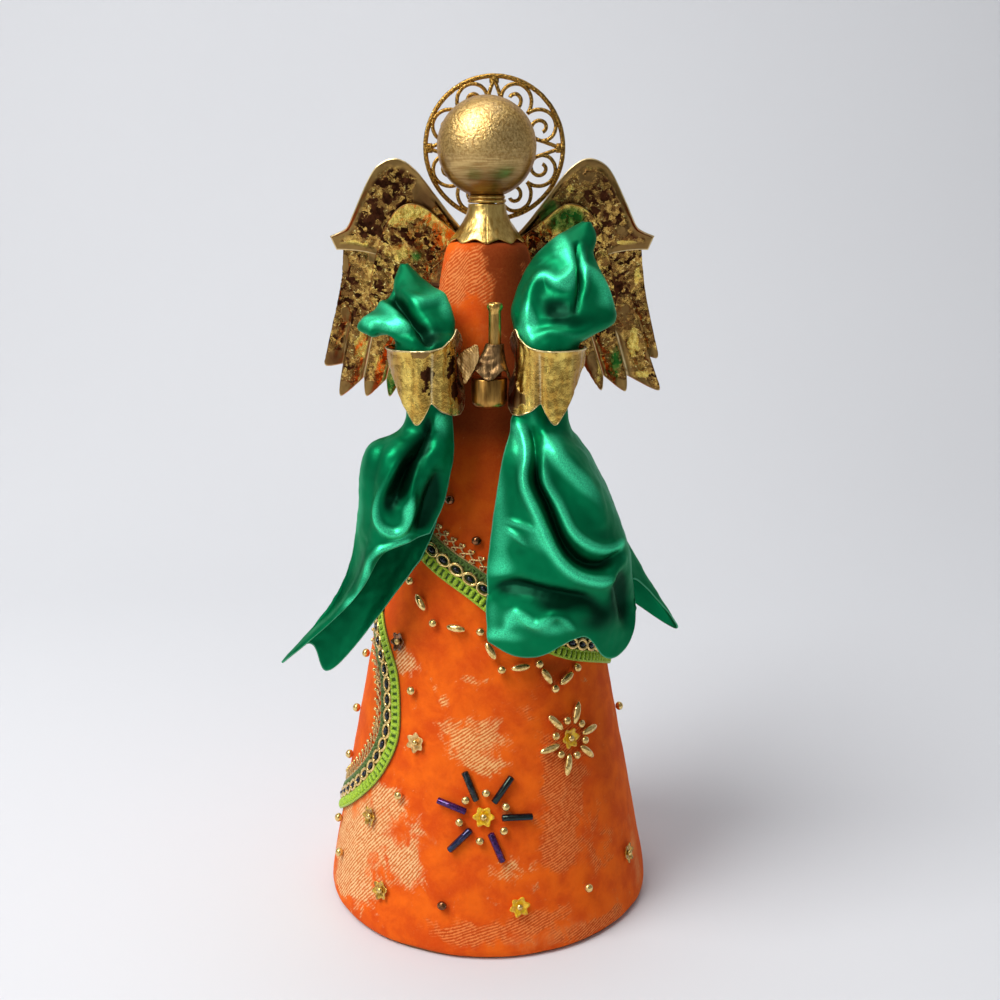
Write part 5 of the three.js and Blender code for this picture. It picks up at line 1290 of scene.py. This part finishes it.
def kite_leaf():
    """A kite-shaped leaf between the calyx and the left cuff."""
    rows, columns = GRIDS["kite"]
    across = shares(rows)[:, None, None]
    along = shares(columns)
    flat = spline(KITE_RIGHT, along) * (1 - across) + spline(KITE_LEFT, along) * across
    y = KITE_TURN["y"] + KITE_TURN["slope"] * (flat[..., 0] - KITE_TURN["x"])
    grid = np.stack([flat[..., 0], y, SOCKET_TOP_Z + flat[..., 1]], -1)
    phase = FULL_TURN * (flat[..., 0] + flat[..., 1]) / KITE_RIDGES["pitch"]
    ridges = KITE_RIDGES["depth"] * np.sin(phase) + dents(grid, "kite")
    grid = grid + normals_of(grid) * ridges[..., None]
    sheet("kite_leaf", grid, CALYX_T, "kite", ["candle_leaf"])


def candle():
    vertices, faces = lathe(CANDLE_PROFILE, TURNED["candle"])
    crushed = 1 + dents(vertices, "candle") * smoothstep(vertices[:, 2], *CANDLE_CRUSHED_Z)
    vertices[:, :2] *= crushed[:, None]
    piece("candle_stick", vertices + (*CANDLE_AT, 0), faces, "candle", ["candle"])


def candle_socket():
    """A cup with a rounded foot and a rounded lip."""
    low = SOCKET_TOP_Z - SOCKET_LENGTH
    turns = np.linspace(0, math.pi / 2, SOCKET_ROUND_STEPS)
    foot_radius = SOCKET_FOOT_R + (SOCKET_R - SOCKET_FOOT_R) * np.sin(turns)
    foot = zip(foot_radius, low + SOCKET_FOOT_ROUND * (1 - np.cos(turns)))
    lip = [(SOCKET_R - inset, SOCKET_TOP_Z - drop) for inset, drop in SOCKET_LIP]
    flat_low, flat_high = zip(SOCKET_FLAT_R, (low, SOCKET_TOP_Z))
    vertices, faces = lathe([flat_low, *foot, *lip, flat_high], TURNED["socket"])
    placed = vertices + (SOCKET_X, CANDLE_AT[1], 0)
    piece("socket_cup", placed, faces, "socket", ["candle_socket"])


# Trims

LEFT_BRAID = [(-78, 99), (-65, 90.5), (-53.5, 83), (-48.5, 75), (-46.3, 65), (-49, 57.5), (-54.6, 50),
              (-68, 39.5), (-88, 29), (-112, 19)]
FRONT_BRAID = [(-44, 126.5), (-33, 122.5), (-20, 118.3), (-1, 111.5), (20, 101), (42, 92.8), (66, 87),
               (104, 77), (138, 69)]
BRAID_W = 8.4
BRAID_T = 0.5
EDGING_W = 4.2
# Parts of a braid, with offsets from its route towards the edging and lifts off the velvet
ROUTE_STEPS = 900
BRAID_STEP = 0.6
BRAID_BALL = (12, 8)
TAPE_ROWS = 9
TAPE_LIFT = 0.55
CORD_LIFT = 1.0
LADDER = {"pitch": 2.0, "offset": -2.6, "lift": 1.15, "size": (1.6, 0.72, 0.75), "turn": 90, "slant": 0,
          "cords": [(-4.0, 0.45), (-1.2, 0.42)]}
LEAVES = {"pitch": 1.1, "offset": 3.1, "lift": 1.05, "size": (1.1, 0.42, 0.45), "turn": 90, "slant": 35,
          "cords": [(4.0, 0.4)]}
RINGS = {"pitch": 4.9, "offset": 0.7, "lift": 1.35, "size": (1, 1, 1), "turn": 0, "slant": 0,
         "oval": (2.25, 1.5), "wire": (0.5, 0.45), "steps": 20}
RING_FILLS = {**RINGS, "size": (1.3, 0.75, 0.85)}
LOOPS = {"pitch": 3.4, "step": 0.3, "wide": 1.5, "lag": 1.3, "lift": 0.7, "rise": 0.2, "wire": 0.27,
         "sides": 7}
LOOP_CORD = {"offset": -1.9, "radius": 0.32}
SEEDS = {"offset": 1.7, "lift": 0.95, "size": (0.6, 0.6, 0.6)}
STAR = {"centre": (-1.2, 44.4), "middle": 10.0, "rays": [114, 54, -3, -68, -133, 164]}
STAR_LOOKS = ["teal_bead", "black_bead", "black_bead", "purple_bead", "navy_bead", "purple_bead"]
STAR_ROUNDS = [84, 24, -36, -98, -165, 138]
FLOWER = {"centre": (37, 64.5), "middle": 7.9, "rays": [4, 66, 130, 190, 254, 314]}
FLOWER_ROUNDS = [35, 98, 160, 222, 284, 339]
GARLAND = [(-43.6, 112.2), (-26.7, 101.2), (-3, 99.9), (6.7, 88.5), (24.3, 89.1), (31.2, 80.8),
           (45.1, 85.1)]
SMALL_FLOWERS = [(-30.9, 64.2, "cream"), (-50.8, 36.2, "amber"), (-40, 15.7, "amber"),
                 (11.1, 16.6, "yellow"), (63, 19.4, "amber"), (-47.7, 92.7, "brown_bead"),
                 (108, 44, "cream"), (150, 24, "yellow"), (-150, 52, "brown_bead"), (-172, 96, "cream"),
                 (176, 34, "yellow")]
SINGLE_BEADS = [(-35.1, 79.6), (-36, 46.9), (-79.3, 24.6), (-68.9, 17), (37.2, 17.4), (-69.4, 100.1),
                (-84, 62), (-88, 80), (-80, 47), (92, 60), (120, 22), (160, 58), (-128, 70), (-140, 28),
                (-165, 16), (142, 90)]
BROWN_BEADS = [(-15.2, 16.6), (-22.6, 138.3), (-5.6, 126.8)]
PEARL_R = 1.4
RICE = (3.1, 1.3, 1.3)
RICE_RAY = (3.6, 1.3, 1.3)
BUGLE_RAY = (9.4, 1.1, 1.1)
STAR_SEQUIN_R = 3.4
SMALL_SEQUIN_R = 3.3
SINGLE_BEAD = (1.45, 1.45, 1.3)
BROWN_BEAD = (1.6, 1.4, 1.1)
BROWN_BEAD_LIFT = 1.2
ROUNDS = {"share": 0.73, "lift": 1.2, "size": (1.35, 1.35, 1.2)}
STAR_KNOB = {"lift": 1.3, "size": (1.1, 1.1, 0.9)}
FLOWER_KNOB = {"lift": 1.2, "size": (1.0, 1.0, 0.8)}
SEQUIN_RIM = {"radius": 0.86, "wave": 0.14, "lift": 0.05, "steps": 8}
# How a sequin is cupped, as (share of its radius, height), over it and back under it
SEQUIN_PROFILE = [(0.12, 0.0), (0.4, 0.05), (0.75, 0.14), (1.0, 0.32), (0.96, 0.38), (0.7, 0.26),
                  (0.35, 0.17), (0.1, 0.15)]
# A bugle bead's profile as (share of its length, share of its radius), with the start of its hole at each end
BUGLE_PROFILE = [(-0.47, 0.45), (-0.5, 0.55), (-0.5, 0.86), (-0.485, 1), (0.485, 1), (0.5, 0.86),
                 (0.5, 0.55), (0.47, 0.45)]
BUGLE_SIDES = 6


def flower_shape(petals=6):
    """A unit flower sequin, cupped, lying in its XY plane."""
    angles = full_turn(petals * SEQUIN_RIM["steps"])
    wave = np.cos(petals * angles)
    rim = SEQUIN_RIM["radius"] + SEQUIN_RIM["wave"] * wave
    outline = np.stack([rim * np.cos(angles), rim * np.sin(angles), SEQUIN_RIM["lift"] * wave], -1)
    return skinned([share * outline + (0, 0, z) for share, z in SEQUIN_PROFILE])


def bugle_shape():
    """A six-sided glass tube along X with a hole in each end, 1 long and of radius 1."""
    angles = full_turn(BUGLE_SIDES)
    y, z = np.cos(angles), np.sin(angles)
    return skinned([np.stack([x + 0 * y, radius * y, radius * z], -1) for x, radius in BUGLE_PROFILE])


def per_degree(z):
    """How many millimetres one degree is round the skirt at a height."""
    return math.radians(1) * skirt_radius(z)


def from_centre(centre, roll, distance):
    degrees, z = centre
    turn = math.radians(roll)
    return degrees + distance * math.cos(turn) / per_degree(z), z + distance * math.sin(turn)


def rayed(spec, names, rounds, shape, size, looks):
    """A flower sequin with bead rays and a round bead between each pair."""
    name, slot = names
    small = ball()
    for i, roll in enumerate(spec["rays"]):
        ray = Batch()
        ray.sew(shape, from_centre(spec["centre"], roll, spec["middle"]), size[1], size, roll)
        ray.piece(f"{name}_bead_{i + 1}", looks[i], slot, [f"{name}_ray_{i + 1}"])
    flower = Batch()
    flower.sew(flower_shape(), spec["centre"], 0, (STAR_SEQUIN_R,) * 3)
    flower.piece(name + "_flower", "yellow", "sequin", [name + "_sequin"])
    dots = Batch()
    for roll in rounds:
        place = from_centre(spec["centre"], roll, spec["middle"] * ROUNDS["share"])
        dots.sew(small, place, ROUNDS["lift"], ROUNDS["size"])
    dots.sew(small, spec["centre"], **STAR_KNOB)
    dots.piece(name + "_rounds", "bead", "gold_bead")


def garland():
    small = ball()
    beads = Batch()
    names = [f"garland_pearl_{i + 1}" for i in range(len(GARLAND))]
    names += [f"garland_rice_bead_{i}" for i in range(1, len(GARLAND))]
    for i, (degrees, z) in enumerate(GARLAND):
        beads.sew(small, (degrees, z), PEARL_R, (PEARL_R,) * 3)
        if i == 0:
            continue
        last, last_z = GARLAND[i - 1]
        middle = ((degrees + last) / 2, (z + last_z) / 2)
        roll = math.degrees(math.atan2(z - last_z, (degrees - last) * per_degree(middle[1])))
        beads.sew(small, middle, RICE[1], RICE, roll)
    beads.piece("garland_beads", "bead", "gold_bead", names)


def scattered():
    """Small flowers and single beads that are sewn on alone, gathered so that each look is one piece."""
    batches = {}

    def sew(look, *how, **knob):
        batches.setdefault(look, Batch()).sew(*how, **knob)

    petals, small = flower_shape(), ball()
    for degrees, z, look in SMALL_FLOWERS:
        sew(look, petals, (degrees, z), 0, (SMALL_SEQUIN_R,) * 3, degrees)
        sew("bead", small, (degrees, z), **FLOWER_KNOB)
    for place in SINGLE_BEADS:
        sew("bead", small, place, PEARL_R, SINGLE_BEAD)
    for place in BROWN_BEADS:
        sew("brown_bead", small, place, BROWN_BEAD_LIFT, BROWN_BEAD)
    for look, batch in batches.items():
        batch.piece("scattered_" + look, look, "gold_bead")


def route_frame(route, pitch):
    """Places at even spacing along a braid: (degrees, z, course in degrees from level)."""
    dense = spline(route, shares(ROUTE_STEPS))
    run = np.gradient(dense[:, 0]) * per_degree(dense[:, 1])
    rise = np.gradient(dense[:, 1])
    gone = np.concatenate([[0], np.cumsum(np.hypot(run, rise)[1:])])
    stops = np.arange(pitch / 2, gone[-1], pitch)
    degrees = np.interp(stops, gone, dense[:, 0])
    z = np.interp(stops, gone, dense[:, 1])
    course = np.degrees(np.interp(stops, gone, np.unwrap(np.arctan2(rise, run))))
    return list(zip(degrees, z, course))


def shifted(place, offset, along=0.0):
    """A place on the braid moved up the slope from its route, and along it."""
    degrees, z, course = place
    turn = math.radians(course)
    right = along * math.cos(turn) - offset * math.sin(turn)
    return degrees + right / per_degree(z), z + along * math.sin(turn) + offset * math.cos(turn)


def cord(places, offset, lift):
    points = [on_skirt(*shifted(place, offset), lift) for place in places]
    outward = [skirt_axes(place[0])[2] for place in places]
    return np.array(points), np.array(outward)


def row(shape, route, part, flip):
    """Small shapes at even spacing along a braid, slanting to either side of its course by turns."""
    made = Batch()
    for i, place in enumerate(route_frame(route, part["pitch"])):
        degrees, z = shifted(place, part["offset"] * flip)
        slant = part["slant"] if i % 2 else -part["slant"]
        axes = skirt_axes(degrees, place[2] + part["turn"] + slant)
        made.add(shape, axes, on_skirt(degrees, z, part["lift"]), part["size"])
    return made


def braid(name, route, flip):
    """A beaded braid: a tape, a ladder of thread, leaves, ringed beads and an edging on its flip side."""
    fine = route_frame(route, BRAID_STEP)
    across = np.linspace(-BRAID_W / 2, BRAID_W / 2, TAPE_ROWS)
    grid = np.array([[on_skirt(*shifted(place, offset), TAPE_LIFT) for place in fine] for offset in across])
    sheet(f"braid_tape_{name}", grid, BRAID_T, "green", [f"braid_{name}"])
    small = ball(*BRAID_BALL)
    ladder = row(small, route, LADDER, flip)
    leaves = row(small, route, LEAVES, flip)
    for part, batch in ((LADDER, ladder), (LEAVES, leaves)):
        for offset, radius in part["cords"]:
            line, outward = cord(fine, flip * offset, CORD_LIFT)
            batch.add(tube(line, radius, radius, outward))
    around = full_turn(RINGS["steps"])
    oval = np.stack([np.cos(around), np.sin(around), 0 * around], -1) * (*RINGS["oval"], 1)
    ring = tube(oval, *RINGS["wire"], (0, 0, 1), looped=True)
    rings = row(ring, route, RINGS, flip)
    beads = row(small, route, RING_FILLS, flip)
    middle = flip * (BRAID_W + EDGING_W) / 2
    points, outward = [], []
    for i, place in enumerate(route_frame(route, LOOPS["step"])):
        phase = i * LOOPS["step"] / LOOPS["pitch"] * FULL_TURN
        side = middle + LOOPS["wide"] * math.sin(phase)
        degrees, z = shifted(place, side, LOOPS["lag"] * math.sin(2 * phase))
        points.append(on_skirt(degrees, z, LOOPS["lift"] + LOOPS["rise"] * math.cos(phase)))
        outward.append(skirt_axes(degrees)[2])
    loops = Batch()
    loops.add(tube(points, LOOPS["wire"], LOOPS["wire"], outward, LOOPS["sides"]))
    line, outward = cord(fine, middle + flip * LOOP_CORD["offset"], LOOPS["lift"])
    loops.add(tube(line, LOOP_CORD["radius"], LOOP_CORD["radius"], outward, LOOPS["sides"]))
    seeds = Batch()
    for place in route_frame(route, LOOPS["pitch"]):
        degrees, z = shifted(place, middle + flip * SEEDS["offset"])
        seeds.add(small, skirt_axes(degrees), on_skirt(degrees, z, SEEDS["lift"]), SEEDS["size"])
    ladder.piece(f"braid_ladder_{name}", "lime", "braid")
    leaves.piece(f"braid_inner_{name}", "green", "braid")
    rings.piece(f"braid_rings_{name}", "bead", "edging")
    beads.piece(f"braid_beads_{name}", "braid_bead", "bugle")
    loops.piece(f"edging_loops_{name}", "gold_thread", "edging", [f"edging_{name}"])
    seeds.piece(f"edging_seeds_{name}", "bead", "gold_bead")


# Studio


def stage():
    """A pale floor that rises behind in one sweep."""
    radius, half = SWEEP["radius"], SWEEP["half"]
    turns = np.linspace(0, math.pi / 2, SWEEP["steps"])
    corner = [(SWEEP["corner"] + radius * math.sin(a), radius - radius * math.cos(a)) for a in turns]
    profile = [(SWEEP["front"], 0.0), *corner, (SWEEP["back"], SWEEP["top"])]
    vertices = [(x, y, z) for y, z in profile for x in (-half, half)]
    faces = [(2 * i, 2 * i + 1, 2 * i + 3, 2 * i + 2) for i in range(len(profile) - 1)]
    mesh = bpy.data.meshes.new("studio_sweep")
    mesh.from_pydata(vertices, [], faces)
    mesh.polygons.foreach_set("use_smooth", [True] * len(mesh.polygons))
    paper = Look("paper", Roughness=0.9)
    shade = paper.grain(400, 1)
    mesh.materials.append(paper.set(Base_Color=paper.blend(shade, tone(222, 223, 226), tone(216, 217, 220))))
    floor = bpy.data.objects.new("studio_sweep", mesh)
    bpy.context.scene.collection.objects.link(floor)


def lamp(name, at, aim, size, power):
    light = bpy.data.lights.new(name, "AREA")
    light.shape = "DISK"
    light.size = size
    light.energy = power
    made = bpy.data.objects.new(name, light)
    made.location = at
    made.rotation_euler = (Vector(aim) - Vector(at)).to_track_quat("-Z", "Y").to_euler()
    bpy.context.scene.collection.objects.link(made)


def studio():
    stage()
    for setting in LAMPS:
        lamp(*setting)
    world = bpy.data.worlds.new("studio")
    world.use_nodes = True
    sky = world.node_tree.nodes["Background"]
    sky.inputs["Color"].default_value = tone(238, 240, 244)
    sky.inputs["Strength"].default_value = SKY_STRENGTH
    bpy.context.scene.world = world
    lens = bpy.data.cameras.new("camera")
    lens.lens = CAMERA_LENS
    lens.sensor_width = CAMERA_SENSOR
    lens.clip_start = CAMERA_CLIP
    camera = bpy.data.objects.new("camera", lens)
    camera.location = CAMERA_AT
    camera.rotation_euler = (math.radians(CAMERA_TILT_DEG), 0, 0)
    bpy.context.scene.collection.objects.link(camera)
    bpy.context.scene.camera = camera
    bpy.context.scene.view_settings.view_transform = "Standard"


def dress_frame():
    """Gives the CAD nodes that stay in view their own finish."""
    kept = {"base_board": "card", "card_cone": "card", "top_plug": "wood", "neck_dowel": "wood",
            "arm_wire_left": "wire", "arm_wire_right": "wire"}
    for name, look in kept.items():
        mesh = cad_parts[name].data
        mesh.materials.clear()
        mesh.materials.append(LOOKS[look])


velvet()
collar()
neck_ring()
head()
halo()
for side, sign in SIDES.items():
    wing_coverts(side, sign)
    wing_leaf(side, sign)
    wing_feathers(side, sign)
    cuff(side, sign)
    sleeve(side, sign)
    drape(side, sign)
calyx()
kite_leaf()
candle()
candle_socket()
rayed(STAR, ("bugle_star", "bugle"), STAR_ROUNDS, bugle_shape(), BUGLE_RAY, STAR_LOOKS)
rayed(FLOWER, ("rice_flower", "gold_bead"), FLOWER_ROUNDS, ball(), RICE_RAY, ["bead"] * 6)
garland()
scattered()
braid("left", LEFT_BRAID, -1)
braid("front", FRONT_BRAID, 1)
dress_frame()
studio()
